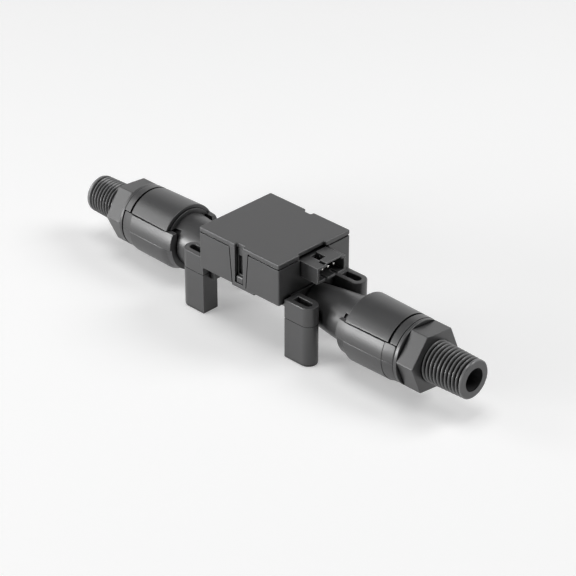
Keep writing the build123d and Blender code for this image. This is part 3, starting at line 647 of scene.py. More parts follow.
def moulded_plastic(name, colour, roughness, rub, thread=None):
    """Dark moulded thermoplastic with a fine grain and a few hair scratches, its edges painted pale as painted
    highlight and handling wear, thread crests painted pale as painted highlight where a thread is given, and
    painted shade in grooves and corners.
    """
    tree, shader = new_finish(name)
    texture = use_group(tree, "moulded_grain")
    # Painted shade: this mask darkens the colour and lowers the specular level in grooves, corners and
    # creases.
    cavity = use_group(tree, "cavity")["Open"]
    highlight_and_wear = calc(tree, "MULTIPLY", use_group(tree, "edge_rub")["Mask"], cavity)
    # Painted highlight: on the adapters the thread's crests are painted pale.
    if thread:
        crests = use_group(tree, "thread_wear", start=thread.hex_end, radius=thread.thread_end,
                           taper=thread.taper)
        highlight_and_wear = calc(tree, "MAXIMUM", highlight_and_wear, crests["Mask"])
    # Painted shade: the tone darkens where the surface lies in grooves and corners.
    tone = calc(tree, "MULTIPLY", texture["Tone"], cavity)
    toned = blend_colours(tree, 1.0, opaque(colour), tone, "MULTIPLY")
    # The lighter colour of the painted edge and crest highlights and the handling wear, and also of the hair
    # scratches.
    pale = opaque(min(1.0, c * (1 + rub) + 0.03 * rub) for c in colour)
    highlighted_and_rubbed = blend_colours(tree, calc(tree, "MULTIPLY", highlight_and_wear, rub), toned, pale)
    scuffs = calc(tree, "MULTIPLY", use_group(tree, "fine_scratches")["Mask"], 0.25)
    gloss = calc(tree, "ADD", texture["Gloss"], roughness)
    feed(tree, shader, base_color=blend_colours(tree, scuffs, highlighted_and_rubbed, pale),
         roughness=calc(tree, "ADD", gloss, calc(tree, "MULTIPLY", highlight_and_wear, -0.1)),
         specular_ior_level=calc(tree, "MULTIPLY", cavity, 0.78),
         normal=bump(tree, texture["Height"], 0.02 * MM, 0.5))


def worked_metal(name, colour, roughness, scale):
    """Plated or drawn metal with fine tooling marks, its edges painted pale partly as a painted highlight and
    partly as wear.
    """
    tree, shader = new_finish(name)
    hairs = use_group(tree, "fine_scratches", scale=scale, amount=0.6)["Mask"]
    edges = use_group(tree, "edge_rub", reach=0.1 * MM)["Mask"]
    scuffed = blend_colours(tree, hairs, opaque(colour), opaque(c * 0.7 for c in colour))
    # Painted highlight and wear: the edges are blended towards near white.
    bright = blend_colours(tree, calc(tree, "MULTIPLY", edges, 0.5), scuffed, (0.9, 0.9, 0.9, 1.0))
    feed(tree, shader, base_color=bright, metallic=1.0, roughness=calc(tree, "ADD", hairs, roughness),
         normal=bump(tree, hairs, 0.005 * MM))


def board_laminate(name, colour):
    """Solder mask over a glass laminate, with copper tracks showing through as paler bands."""
    tree, shader = new_finish(name)
    tracks = add_node(tree, "ShaderNodeTexVoronoi", feature="DISTANCE_TO_EDGE", distance="MANHATTAN",
                      vector=object_place(tree), scale=420.0)
    copper = ramp(tree, tracks.outputs["Distance"], 0.08, 0.11, 1.0, 0.0)
    texture = use_group(tree, "moulded_grain", scale=2600.0, drift=0.25)
    toned = blend_colours(tree, 1.0, opaque(colour), texture["Tone"], "MULTIPLY")
    pale = opaque(min(1.0, c * 1.9 + 0.01) for c in colour)
    feed(tree, shader, base_color=blend_colours(tree, calc(tree, "MULTIPLY", copper, 0.6), toned, pale),
         roughness=calc(tree, "ADD", texture["Gloss"], 0.32), normal=bump(tree, copper, 0.02 * MM))


def smooth_finish(name, colour, roughness, drift, coat=0.0):
    """Ceramic, silicon, rubber or moulded epoxy: a tone that drifts and a faint texture."""
    tree, shader = new_finish(name)
    texture = use_group(tree, "moulded_grain", scale=3800.0, drift=drift)
    toned = blend_colours(tree, 1.0, opaque(colour), texture["Tone"], "MULTIPLY")
    feed(tree, shader, base_color=toned, roughness=calc(tree, "ADD", texture["Gloss"], roughness),
         coat_weight=coat, normal=bump(tree, texture["Height"], 0.01 * MM, 0.4))


class AIRFLOW_OT_finishes(bpy.types.Operator):
    """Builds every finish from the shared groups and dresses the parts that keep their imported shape"""
    bl_idname = "airflow.finishes"
    bl_label = "Finishes"

    def execute(self, context):
        colours, adapter = context.scene.sensor_finish, context.scene.sensor_adapter
        for make in (make_moulded_grain, make_edge_highlight_and_rub, make_crevice_shade, make_thread_crest_highlight, make_fine_scratches):
            make()
        # The last number of each row is the strength of the painted edge highlight and handling wear.
        for name, colour, roughness, rub in (
                ("housing_plastic", colours.housing, 0.34, 1.0),
                ("cover_plastic", colours.cover, 0.4, 1.4),
                ("clip_plastic", colours.clip, 0.38, 1.0),
                ("connector_plastic", colours.connector, 0.38, 2.6),
                ("inner_plastic", colours.inner, 0.5, 0.2),
                ("component_black", colours.epoxy, 0.55, 0.3)):
            moulded_plastic(name, colour, roughness, rub)
        moulded_plastic("adapter_plastic", colours.adapter, 0.34, 1.5, adapter)
        worked_metal("plated_steel", colours.steel, 0.3, 2200.0)
        worked_metal("screen_steel", colours.steel, 0.36, 3000.0)
        worked_metal("contact_metal", colours.tin, 0.22, 2600.0)
        board_laminate("board_laminate", colours.board)
        smooth_finish("seal_rubber", colours.rubber, 0.6, 0.2)
        smooth_finish("package_ceramic", colours.ceramic, 0.45, 0.06)
        smooth_finish("component_tan", colours.capacitor, 0.4, 0.15)
        smooth_finish("chip_silicon", colours.silicon, 0.12, 0.1, coat=0.5)
        slots = {part["node"]: part["material_slot"] for part in frame["record"]["subparts"]}
        for name, node in frame["nodes"].items():
            dress(node, slots[name])
        return {"FINISHED"}


class AIRFLOW_OT_flow_tube(bpy.types.Operator):
    """Models the flow tube with its two necks, beads and sockets, open from end to end"""
    bl_idname = "airflow.flow_tube"
    bl_label = "Flow tube"

    def execute(self, context):
        tube, rise = context.scene.sensor_tube, context.scene.sensor_roof.rise
        bead_start = tube.shoulder - tube.bead_width
        neck = []
        for step in range(9):
            share = step / 8
            radius = tube.tube_radius + (tube.neck_end_radius - tube.tube_radius) * share
            bulge = tube.neck_bulge * 4 * share * (1 - share)
            neck.append((tube.neck_start + (bead_start - tube.neck_start) * share, radius + bulge, 0))
        outer = neck + [(bead_start, tube.bead_radius, FINE), (tube.shoulder, tube.bead_radius, FINE),
                        (tube.shoulder, tube.socket_radius, 0), (tube.mouth, tube.socket_radius, FINE)]
        inner = [(tube.neck_start, tube.throat_radius, 0), (tube.stack_start, tube.channel_radius, 0),
                 (tube.stack_start, tube.socket_bore, 0),
                 (tube.mouth - tube.socket_lead, tube.socket_bore, 0),
                 (tube.mouth, tube.socket_bore + tube.socket_lead, 0)]
        outline = rounded(mirrored(outer) + list(reversed(mirrored(inner))), 0)
        piece = spun("flow_tube", outline)
        outside = tube.bead_radius + 3 * PAST
        for side in (-1, 1):
            ring = [(tube.seat_start, tube.seat_radius), (tube.seat_start, outside),
                    (tube.shoulder, outside), (tube.shoulder, tube.seat_radius)]
            tool = bisect(spun("seat_cut", [(side * x, r) for x, r in ring]), AXIS + rise, keep_top=False)
            combine(piece, [tool], "DIFFERENCE")
        clean(piece)
        finish_housing(piece)
        return {"FINISHED"}


class AIRFLOW_OT_socket_roofs(bpy.types.Operator):
    """Models the upper shell of each socket with its ring groove and the hood over the flange"""
    bl_idname = "airflow.socket_roofs"
    bl_label = "Socket roofs"

    def execute(self, context):
        tube, roof = context.scene.sensor_tube, context.scene.sensor_roof
        slope = (roof.radius - roof.hood_radius) / (HOOD_END - tube.shoulder)
        fine = 0.1 * MM

        def skin(station):
            return roof.radius - slope * (station - tube.shoulder)

        groove_end = roof.groove_start + roof.groove_width
        outline = rounded([
            (tube.shoulder, roof.inner_radius, 0), (tube.shoulder, roof.radius, roof.edge),
            (roof.groove_start, skin(roof.groove_start), fine),
            (roof.groove_start, skin(roof.groove_start) - roof.groove_depth, 0),
            (groove_end, skin(groove_end) - roof.groove_depth, 0), (groove_end, skin(groove_end), fine),
            (HOOD_END, roof.hood_radius, roof.edge / 2), (HOOD_END, roof.hood_bore, fine),
            (tube.mouth, roof.hood_bore, 0), (tube.mouth, roof.inner_radius, 0)], 0)
        for side, word in ((-1, "inlet"), (1, "outlet")):
            piece = spun(word + "_socket_roof", [(side * x, r) for x, r in outline])
            bisect(piece, AXIS + roof.rise, keep_top=True)
            clean(piece)
            finish_housing(piece)
        return {"FINISHED"}


def foot_outline(foot, side_x, side_y, inset, neck_start):
    """Plan of one foot: straight by the box and half round at its outer end."""
    radius = foot.width / 2 - inset
    near = neck_start + inset
    far = neck_start + foot.length - foot.width / 2
    middle = foot.inner + foot.width / 2
    turns = [pi / 2 - pi * step / 16 for step in range(17)]
    points = [(near, middle + radius)] + [(far + radius * cos(a), middle + radius * sin(a)) for a in turns]
    return [(side_x * x, side_y * y) for x, y in points + [(near, middle - radius)]]


class AIRFLOW_OT_feet(bpy.types.Operator):
    """Models the four feet with their pockets and moulding line, and the webs that join them"""
    bl_idname = "airflow.feet"
    bl_label = "Feet and webs"

    def execute(self, context):
        foot, tube, box = context.scene.sensor_foot, context.scene.sensor_tube, context.scene.sensor_box
        top = AXIS + foot.rise
        for side_x, word_x in ((-1, "inlet"), (1, "outlet")):
            for side_y, word_y in ((-1, "front"), (1, "back")):
                self.make_foot(f"{word_x}_{word_y}_foot", foot, side_x, side_y, tube.neck_start, top)
            across = foot.inner + foot.width / 2
            start, end = side_x * (tube.neck_start - foot.web), side_x * tube.neck_start
            web = block(word_x + "_web", (min(start, end), -across, AXIS - foot.web_drop),
                        (max(start, end), across, box.bottom + box.floor / 2))
            start = side_x * (tube.neck_start - foot.bridge)
            bridge = block("bridge", (min(start, end), -across, AXIS), (max(start, end), across, top))
            combine(web, [bridge], "UNION")
            bevel_edges(web, foot.edge / 2)
            finish_housing(web)
        return {"FINISHED"}

    def make_foot(self, name, foot, side_x, side_y, start, top):
        """One foot: two halves with the moulding line between, a pocket on top, a screw hole below."""
        plan = foot_outline(foot, side_x, side_y, 0, start)
        line_plan = foot_outline(foot, side_x, side_y, foot.line_depth, start)
        pocket_plan = foot_outline(foot, side_x, side_y, foot.wall, start)
        piece = prism(name, [(x, y, AXIS) for x, y in plan], (0, 0, foot.rise))
        lower = prism("lower", [(x, y, 0) for x, y in plan], (0, 0, AXIS - foot.line_width))
        middle = prism("middle", [(x, y, AXIS - PAST) for x, y in line_plan], (0, 0, 2 * PAST))
        combine(piece, [middle, lower], "UNION")
        ceiling = [(x, y, top - foot.pocket) for x, y in pocket_plan]
        pocket = prism("pocket", ceiling, (0, 0, foot.pocket + PAST))
        place = (side_x * (start + foot.length / 2), side_y * (foot.inner + foot.width / 2))
        pilot = rod("pilot", foot.pilot_radius, (*place, -PAST), (*place, foot.pilot_depth), 32)
        combine(piece, [pocket, pilot], "DIFFERENCE")
        clean(piece)
        with editing(piece):
            bpy.ops.mesh.select_all(action="DESELECT")
        for edge in piece.data.edges:
            ends = [piece.data.vertices[i].co for i in edge.vertices]
            edge.select = all(end.z > top - CLOSE for end in ends) or all(end.z < CLOSE for end in ends)
        pick(piece)
        bpy.ops.object.mode_set(mode="EDIT")
        bpy.ops.mesh.bevel(offset=foot.edge, segments=2, affect="EDGES")
        bpy.ops.object.mode_set(mode="OBJECT")
        finish_housing(piece)


def tab_face(box, grow, y):
    """Trapezoid of a snap tab, seen from the front, grown on its two slanted sides."""
    top, bottom = box.tab_top + grow, box.tab_bottom + grow
    high, low = TRAY_TOP + PAST, box.bottom - PAST
    return [(-top, y, high), (-bottom, y, low), (bottom, y, low), (top, y, high)]


def plan_outline(half_x, half_y, radius):
    """Rounded rectangle in plan."""
    return rounded([(-half_x, -half_y), (half_x, -half_y), (half_x, half_y), (-half_x, half_y)], radius, 4)


class AIRFLOW_OT_electronics_box(bpy.types.Operator):
    """Models the open tray with its tab recesses, catches, connector gap and keel"""
    bl_idname = "airflow.electronics_box"
    bl_label = "Electronics box"

    def execute(self, context):
        box = context.scene.sensor_box
        plan = plan_outline(BOX_X, BOX_Y, box.corner)
        height = TRAY_TOP - box.seam - box.bottom
        piece = prism("electronics_box", [(x, y, box.bottom) for x, y in plan], (0, 0, height))
        lip_plan = plan_outline(BOX_X - box.seam, BOX_Y - box.seam, box.corner)
        lip = prism("lip", [(x, y, TRAY_TOP - 2 * box.seam) for x, y in lip_plan], (0, 0, 2 * box.seam))
        combine(piece, [lip], "UNION")
        back = BOX_Y - box.tab_thickness - FIT
        hollow = block("hollow", (box.wall - BOX_X, box.wall - BOX_Y, box.bottom + box.floor),
                       (BOX_X - box.wall, BOX_Y - box.wall, BOX_TOP))
        low = box.bottom + box.sill
        hole_low, hole_high = low + box.lug_height + box.hole_gap, TRAY_TOP - box.hole_top
        recesses = []
        for side in (-1, 1):
            backing = side_block("backing", box.tab_backing_x, side, back - box.tab_backing, BOX_Y,
                                 box.bottom, BOX_TOP)
            combine(hollow, [backing], "DIFFERENCE")
            recesses.append(prism("recess", tab_face(box, box.tab_gap, side * back), (0, side * 3 * PAST, 0)))
            inner = back - box.hole_depth
            recesses.append(side_block("hole", box.lug_x, side, inner, BOX_Y, hole_low, hole_high))
        gap_y = (PLUG_HIGH.y - PLUG_LOW.y) / 2 + FIT
        gap = block("gap", (BOX_X - 2 * box.wall, -gap_y, PLUG_LOW.z), (BOX_X + PAST, gap_y, BOX_TOP))
        combine(piece, [hollow, *recesses, gap], "DIFFERENCE")
        keel = block("keel", (-box.keel_x, -box.keel_y, box.bottom - box.keel_depth),
                     (box.keel_x, box.keel_y, box.bottom + box.floor / 2))
        combine(piece, [keel], "UNION")
        for side in (-1, 1):
            front, root = side * (back + box.lug_reach), side * (back - box.tab_backing / 2)
            profile = [(root, low), (front, low), (front, low + box.lug_height, box.lug_round),
                       (root, low + box.lug_height)]
            points = [(-box.lug_x, y, z) for y, z in rounded(profile, 0, 5)]
            combine(piece, [prism("catch", points, (2 * box.lug_x, 0, 0))], "UNION")
        bevel_edges(piece, box.edge)
        finish_housing(piece)
        return {"FINISHED"}


class AIRFLOW_OT_cover(bpy.types.Operator):
    """Models the snap-on cover with its rounded rim, its two slotted tabs and the cut over the connector"""
    bl_idname = "airflow.cover"
    bl_label = "Cover"

    def execute(self, context):
        box = context.scene.sensor_box
        plan = plan_outline(BOX_X, BOX_Y, box.corner)
        piece = prism("cover", [(x, y, TRAY_TOP) for x, y in plan], (0, 0, BOX_TOP - TRAY_TOP))
        low, high = TRAY_TOP - PAST, BOX_TOP + PAST
        cut = block("cut", (BOX_X - box.cover_cut_depth, -box.cover_cut_left, low),
                    (BOX_X + PAST, box.cover_cut_right, high))
        notches = [side_block("notch", box.window, side, BOX_Y - box.notch, BOX_Y + PAST, low, high)
                   for side in (-1, 1)]
        combine(piece, [cut, *notches], "DIFFERENCE")
        bevel_edges(piece, box.cover_edge, segments=3)
        finish_piece(piece, "sensor_body", "cover_plastic", "top_cover")
        for side, word in ((-1, "front"), (1, "back")):
            inner = BOX_Y - box.tab_thickness
            tab = prism(word + "_tab", tab_face(box, 0, side * inner), (0, side * box.tab_thickness, 0))
            limit = block("limit", (-BOX_X, -BOX_Y - PAST, box.bottom + FIT),
                          (BOX_X, BOX_Y + PAST, TRAY_TOP + box.cover_edge))
            combine(tab, [limit], "INTERSECT")
            window = side_block("window", box.window, side, inner - PAST, BOX_Y + PAST,
                                box.bottom + box.sill, BOX_TOP)
            combine(tab, [window], "DIFFERENCE")
            bevel_edges(tab, box.edge)
            finish_piece(tab, "sensor_body", "cover_plastic", "top_cover")
        return {"FINISHED"}


class AIRFLOW_OT_connector(bpy.types.Operator):
    """Models the connector body with its keyed roof, raised bar, latch slot and slotted lip"""
    bl_idname = "airflow.connector"
    bl_label = "Connector"

    def execute(self, context):
        plug = context.scene.sensor_connector
        low, high = PLUG_LOW, PLUG_HIGH
        roof = low.z + plug.height
        floor, step = low.z + plug.wall, roof - plug.wall / 2
        inside_y, inner, bar_x = high.y - plug.wall, high.x - plug.cavity, high.x - plug.bridge_bar
        piece = block("connector", low, (high.x, high.y, roof))
        bar = block("bar", (bar_x, -plug.bridge_left, step), (high.x, plug.bridge_right, high.z))
        rear = block("rear", (BOX_X, plug.latch_right, step), (high.x, plug.bridge_right, high.z))
        combine(piece, [bar, rear], "UNION")
        tools = [
            block("cavity", (inner, -inside_y, floor), (high.x + PAST, inside_y, roof - plug.wall)),
            block("keyway", (inner, -plug.keyway_left, floor), (high.x + PAST, plug.keyway_right, roof)),
            block("latch", (BOX_X + plug.latch_start, -plug.latch_left, roof - plug.latch_depth),
                  (bar_x, plug.latch_right, high.z + PAST)),
            block("relief", (bar_x, -plug.bridge_left - plug.relief, step),
                  (high.x - plug.relief, -plug.bridge_left, high.z + PAST))]
        for middle in (-plug.lip_slot_y, plug.lip_slot_y):
            tools.append(block(
                "lip_slot", (high.x - plug.lip_slot_depth, middle - plug.lip_slot, low.z - PAST),
                (high.x + PAST, middle + plug.lip_slot, floor + FIT / 2)))
        combine(piece, tools, "DIFFERENCE")
        bevel_edges(piece, plug.edge)
        finish_piece(piece, "sensor_body", "connector_plastic", "connector_body")
        return {"FINISHED"}


def clip_outline(clip):
    """Outer skin of a clip as stations and radii, from the neck to the hexagon."""
    return [(CLIP_START, clip.neck_radius, clip.edge), (CLIP_START + clip.ramp_end, clip.radius, 0),
            (CLIP_END - clip.zone, clip.outer_radius + clip.zone_step, 0.06 * MM),
            (CLIP_END - clip.zone, clip.outer_radius, 0), (CLIP_END - clip.tip_edge, clip.tip_radius, 0),
            (CLIP_END, clip.tip_radius - clip.tip_edge, 0)]


class AIRFLOW_OT_clips(bpy.types.Operator):
    """Models the two clips that slide up over the sockets and lock the adapters"""
    bl_idname = "airflow.clips"
    bl_label = "Retaining clips"

    def execute(self, context):
        scene = context.scene
        clip, tube, adapter = scene.sensor_clip, scene.sensor_tube, scene.sensor_adapter
        core_radius = tube.seat_radius / 2
        outline = rounded(clip_outline(clip) + [(CLIP_END, core_radius, 0), (CLIP_START, core_radius, 0)], 0)
        piece = spun("outlet_retaining_clip", outline)
        core = rod("core", 1.5 * core_radius, (CLIP_START, 0, AXIS), (CLIP_END, 0, AXIS), FACETS)
        combine(piece, [core], "UNION")
        low = AXIS - 2 * clip.radius
        side = rounded([(CLIP_START - PAST, low, 0), (CLIP_END + PAST, low, 0),
                        (CLIP_END + PAST, CLIP_TOP - 3 * MM, 0),
                        (CLIP_END, CLIP_TOP - 2.5 * MM, 0), (CLIP_END, CLIP_TOP, clip.corner),
                        (CLIP_START, CLIP_TOP, clip.neck_corner), (CLIP_START, CLIP_TOP - 2.5 * MM, 0),
                        (CLIP_START - PAST, CLIP_TOP - 3 * MM, 0)], 0, 6)
        combine(piece, [side_prism("side_view", side, 2 * clip.radius)], "INTERSECT")
        ramp = spun("ramp", rounded([
            (CLIP_START - PAST, clip.end_radius, 0), (CLIP_START, clip.end_radius, 0),
            (CLIP_START + clip.ramp_start, clip.ramp_radius, 0.6 * MM),
            (CLIP_START + clip.ramp_end, clip.radius, 0),
            (CLIP_START + clip.ramp_end, 2 * clip.radius, 0), (CLIP_START - PAST, 2 * clip.radius, 0)], 0))
        combine(piece, [bisect(ramp, AXIS, keep_top=False)], "DIFFERENCE")
        openings = [
            (CLIP_START - PAST, CLIP_START + clip.end_wall + PAST, tube.seat_radius + clip.clearance),
            (CLIP_START + clip.end_wall, CLIP_END - clip.lock, tube.socket_radius + clip.clearance),
            (CLIP_END - clip.lock - PAST, CLIP_END + PAST, adapter.waist_radius + clip.clearance)]
        for start, end, radius in openings:
            combine(piece, [self.slot(start, end, radius, clip)], "DIFFERENCE")
        bevel_edges(piece, clip.edge, segments=2, angle=55)
        self.score(piece, clip)
        twin = piece.copy()
        twin.data = piece.data.copy()
        twin.name = twin.data.name = "inlet_retaining_clip"
        context.collection.objects.link(twin)
        flip_end(twin)
        finish_piece(piece, "outlet_clip_body", "clip_plastic", "outlet_clip")
        finish_piece(twin, "inlet_clip_body", "clip_plastic", "inlet_clip")
        return {"FINISHED"}

    def slot(self, start, end, radius, clip):
        """Round-bottomed slot, open upwards."""
        turns = [pi + pi * step / 48 for step in range(49)]
        arc = [(start, radius * cos(a), AXIS + radius * sin(a)) for a in turns]
        top = AXIS + 2 * clip.radius
        return prism("slot", arc + [(start, radius, top), (start, -radius, top)], (end - start, 0, 0))

    def score(self, piece, clip):
        """A shallow moulding line along both sides at the height of the pipe axis."""
        for height in (AXIS - clip.line_width, AXIS, AXIS + clip.line_width):
            with editing(piece):
                bpy.ops.mesh.bisect(plane_co=(0, 0, height), plane_no=(0, 0, 1), threshold=MERGE)
        for vertex in piece.data.vertices:
            outside = abs(vertex.co.y) > clip.end_radius - clip.edge
            if outside and abs(vertex.co.z - AXIS) < MERGE * 10:
                vertex.co.y -= clip.line_depth if vertex.co.y > 0 else -clip.line_depth


def thread_section(adapter, turns):
    """Crests and roots of the thread over some turns, before its taper, as stations and radii."""
    flank = adapter.thread_depth * tan(radians(30))
    root = adapter.pitch - adapter.crest - 2 * flank
    soft = adapter.crest * 0.2
    points = []
    for turn in range(turns):
        start = adapter.hex_end - 2 * adapter.pitch + turn * adapter.pitch
        points += [(start, -soft), (start + adapter.crest * 0.3, 0), (start + adapter.crest * 0.7, 0),
                   (start + adapter.crest, -soft), (start + adapter.crest + flank, -adapter.thread_depth),
                   (start + adapter.crest + flank + root, -adapter.thread_depth)]
    return points + [(points[-1][0] + flank, -soft)]


class AIRFLOW_OT_adapters(bpy.types.Operator):
    """Models the two adapters: spigot, flange, collar, hexagon and a true right-handed pipe thread"""
    bl_idname = "airflow.adapters"
    bl_label = "Threaded adapters"

    def execute(self, context):
        adapter = context.scene.sensor_adapter
        outlet = self.make_adapter("outlet_threaded_adapter", adapter, adapter.outlet_turn)
        inlet = self.make_adapter("inlet_threaded_adapter", adapter, -adapter.inlet_turn)
        flip_end(inlet)
        finish_piece(outlet, "outlet_port_body", "adapter_plastic", "outlet_adapter")
        finish_piece(inlet, "inlet_port_body", "adapter_plastic", "inlet_adapter")
        return {"FINISHED"}

    def make_adapter(self, name, adapter, turn):
        """Joins the turned core, the hexagon and the thread, and bores them through."""
        small = adapter.bore - PAST
        groove = adapter.spigot - adapter.seal_depth
        core = spun(name, rounded([
            (SPIGOT_TIP, small, 0), (SPIGOT_TIP, adapter.spigot, 0.3 * MM),
            (adapter.seal_start, adapter.spigot, 0), (adapter.seal_start, groove, 0),
            (adapter.seal_end, groove, 0), (adapter.seal_end, adapter.spigot, 0),
            (adapter.flange_start, adapter.spigot, 0), (adapter.flange_start, adapter.flange_radius, FINE),
            (adapter.flange_end, adapter.flange_radius, FINE), (adapter.flange_end, adapter.waist_radius, 0),
            (adapter.collar_start, adapter.waist_radius, 0),
            (adapter.collar_start, adapter.collar_radius, adapter.hex_edge),
            (adapter.hex_start, adapter.collar_radius, adapter.hex_edge),
            (adapter.hex_start, adapter.thread_end, 0), (adapter.hex_start + PAST, adapter.thread_end, 0),
            (adapter.hex_start + PAST, small, 0)], 0))
        combine(core, [self.hexagon(adapter, turn), self.thread(adapter)], "UNION")
        bore = rod("bore", adapter.bore, (SPIGOT_TIP - PAST, 0, AXIS), (TIP + PAST, 0, AXIS), FACETS)
        mouth = rod("mouth", adapter.bore + 2 * adapter.bore_edge, (TIP - adapter.bore_edge, 0, AXIS),
                    (TIP + adapter.bore_edge, 0, AXIS), FACETS, start_radius=adapter.bore)
        combine(core, [bore, mouth], "DIFFERENCE")
        clean(core)
        return core

    def hexagon(self, adapter, turn):
        """The hexagon with softened edges and its outer corners turned down."""
        corner = adapter.hex_flats / sqrt(3)
        points = [(adapter.hex_start, corner * cos(turn + pi * k / 3), AXIS + corner * sin(turn + pi * k / 3))
                  for k in range(6)]
        hexagon = prism("hexagon", points, (adapter.hex_end - adapter.hex_start, 0, 0))
        bevel_edges(hexagon, adapter.hex_edge)
        before, beyond = adapter.hex_start - PAST, adapter.hex_end + MM / 2
        limit = spun("turned_down", [
            (before, adapter.bore / 2), (before, corner + PAST), (adapter.hex_end - adapter.hex_bevel, corner),
            (beyond, corner - 2.4 * adapter.hex_bevel), (beyond, adapter.bore / 2)])
        return combine(hexagon, [limit], "INTERSECT")

    def thread(self, adapter):
        """One helical sleeve: the section wound once round the axis over one pitch, then tapered."""
        turns = int((TIP - adapter.hex_end) / adapter.pitch) + 5
        section = thread_section(adapter, turns)
        points = [(x, 0, adapter.thread_end + height) for x, height in section]
        sleeve = outline_piece("thread", points, filled=False)
        with editing(sleeve):
            bpy.ops.mesh.select_all(action="DESELECT")
        for edge in sleeve.data.edges:
            edge.select = set(edge.vertices) == {0, len(section) - 1}
        pick(sleeve)
        bpy.ops.object.mode_set(mode="EDIT")
        bpy.ops.mesh.delete(type="EDGE_FACE")
        bpy.ops.object.mode_set(mode="OBJECT")
        apply_modifier(sleeve, "SCREW", axis="X", angle=2 * pi, screw_offset=adapter.pitch, steps=FACETS,
                       render_steps=FACETS, iterations=1, use_merge_vertices=False)
        sleeve.data.transform(Matrix.Translation((0, 0, AXIS)))
        start, land = adapter.hex_end - MM / 2, TIP - adapter.land
        with editing(sleeve):
            bpy.ops.mesh.remove_doubles(threshold=CLOSE)
            bpy.ops.mesh.bisect(plane_co=(start, 0, 0), plane_no=(1, 0, 0), use_fill=True, clear_inner=True,
                                threshold=MERGE)
            bpy.ops.mesh.select_all(action="SELECT")
            bpy.ops.mesh.bisect(plane_co=(TIP, 0, 0), plane_no=(1, 0, 0), use_fill=True, clear_outer=True,
                                threshold=MERGE)
            face_outwards()
        for vertex in sleeve.data.vertices:
            station = vertex.co.x
            radius = sqrt(vertex.co.y ** 2 + (vertex.co.z - AXIS) ** 2)
            if radius < adapter.thread_end - 2 * adapter.thread_depth:
                continue
            faded = max(0.0, min(1.0, (land - station) / adapter.runout))
            depth = (adapter.thread_end - radius) * faded
            chamfer = max(0.0, 0.3 * MM - (TIP - station))
            wanted = adapter.thread_end + (TIP - station) * adapter.taper - depth - chamfer
            vertex.co.y *= wanted / radius
            vertex.co.z = AXIS + (vertex.co.z - AXIS) * wanted / radius
        return sleeve


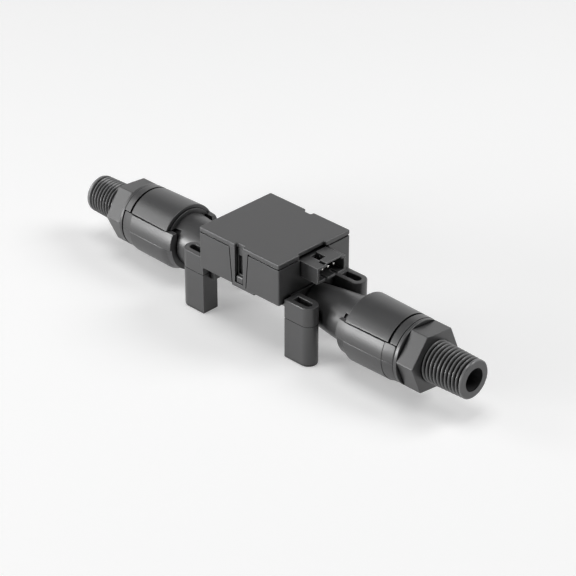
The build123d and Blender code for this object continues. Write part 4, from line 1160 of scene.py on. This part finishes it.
class AIRFLOW_OT_stage(bpy.types.Operator):
    """Sets up the pale floor, the soft lamps, the world and the camera"""
    bl_idname = "airflow.stage"
    bl_label = "Stage"

    def execute(self, context):
        stage = context.scene.sensor_stage
        self.make_camera(context, stage)
        self.make_floor(stage)
        self.make_world(context)
        for name, (azimuth, elevation, power) in LAMPS.items():
            data = bpy.data.lights.new(name, "AREA")
            data.shape, data.size, data.energy = "SQUARE", LAMP_WIDTH, power
            self.aim(context, name, data, radians(azimuth), radians(elevation), LAMP_DISTANCE)
        context.scene.view_settings.view_transform = "Standard"
        return {"FINISHED"}

    def aim(self, context, name, data, azimuth, elevation, distance):
        """A camera or lamp that looks at the target from the side and height that two angles give."""
        thing = bpy.data.objects.new(name, data)
        context.collection.objects.link(thing)
        back = Vector((sin(azimuth) * cos(elevation), -cos(azimuth) * cos(elevation), sin(elevation)))
        thing.location = Vector(context.scene.sensor_stage.target) + back * distance
        thing.rotation_mode = "QUATERNION"
        thing.rotation_quaternion = (-back).to_track_quat("-Z", "Y")
        return thing

    def make_camera(self, context, stage):
        """The camera at the photograph's viewing angle."""
        data = bpy.data.cameras.new("camera")
        data.lens = stage.lens
        data.sensor_width = 36.0
        data.clip_start, data.clip_end = 0.01, 50.0
        context.scene.camera = self.aim(
            context, "camera", data, stage.azimuth, stage.elevation, stage.distance)

    def seen_directly(self, tree):
        """One for rays from the camera, mirrors and glass, nought for the rest."""
        path = tree.nodes.new("ShaderNodeLightPath").outputs
        mirror = calc(tree, "MAXIMUM", path["Is Camera Ray"], path["Is Glossy Ray"])
        return calc(tree, "MAXIMUM", mirror, path["Is Transmission Ray"])

    def make_floor(self, stage):
        """A pale floor under the feet that glows only where it is seen directly and keeps the shadow."""
        floor = new_piece("floor", "plane", size=2 * stage.floor_half, location=(0, 0, -FIT))
        material = bpy.data.materials.new("pale_floor")
        material.use_nodes = True
        tree = material.node_tree
        tree.nodes.clear()
        pale = feed(tree, tree.nodes.new("ShaderNodeBsdfDiffuse"), color=opaque(stage.floor_colour))
        seen = calc(tree, "MULTIPLY", self.seen_directly(tree), FLOOR_GLOW)
        glow = add_node(tree, "ShaderNodeEmission", strength=seen)
        both = tree.nodes.new("ShaderNodeAddShader")
        give(tree, both.inputs[0], pale.outputs[0])
        give(tree, both.inputs[1], glow.outputs[0])
        add_node(tree, "ShaderNodeOutputMaterial", surface=both.outputs[0])
        floor.data.materials.append(material)

    def make_world(self, context):
        """Seen directly, a white wall round a darker ceiling; for the rest, a dim even fill."""
        world = bpy.data.worlds.new("world")
        world.use_nodes = True
        context.scene.world = world
        tree = world.node_tree
        around = add_node(tree, "ShaderNodeTexCoord").outputs["Generated"]
        place = add_node(tree, "ShaderNodeSeparateXYZ", vector=around)
        room = ramp(tree, place.outputs["Z"], 0.52, 0.78, 0.95, 0.03)
        seen = calc(tree, "MULTIPLY", self.seen_directly(tree), room)
        feed(tree, tree.nodes["Background"], color=(1, 1, 1, 1),
             strength=calc(tree, "MAXIMUM", seen, WORLD_FILL))


OPERATORS = (AIRFLOW_OT_finishes, AIRFLOW_OT_flow_tube, AIRFLOW_OT_socket_roofs, AIRFLOW_OT_feet,
             AIRFLOW_OT_electronics_box, AIRFLOW_OT_cover, AIRFLOW_OT_connector, AIRFLOW_OT_clips,
             AIRFLOW_OT_adapters, AIRFLOW_OT_stage)


class AIRFLOW_PT_panel(bpy.types.Panel):
    """Lists the steps that build the sensor, in order"""
    bl_idname = "AIRFLOW_PT_panel"
    bl_label = "Air flow sensor"
    bl_space_type = "VIEW_3D"
    bl_region_type = "UI"
    bl_category = "Air flow"

    def draw(self, context):
        for operator in OPERATORS:
            self.layout.operator(operator.bl_idname)


def register():
    """Registers the size groups, the operators and the panel."""
    for name, group in SECTIONS.items():
        bpy.utils.register_class(group)
        setattr(bpy.types.Scene, name, bpy.props.PointerProperty(type=group))
    for entry in (*OPERATORS, AIRFLOW_PT_panel):
        bpy.utils.register_class(entry)


def unregister():
    """Takes back what register has added."""
    for entry in (AIRFLOW_PT_panel, *reversed(OPERATORS)):
        bpy.utils.unregister_class(entry)
    for name, group in reversed(SECTIONS.items()):
        delattr(bpy.types.Scene, name)
        bpy.utils.unregister_class(group)


def main():
    """Builds the sensor and its stage."""
    register()
    for operator in OPERATORS:
        category, name = operator.bl_idname.split(".")
        getattr(getattr(bpy.ops, category), name)()


if __name__ == "__main__":
    main()
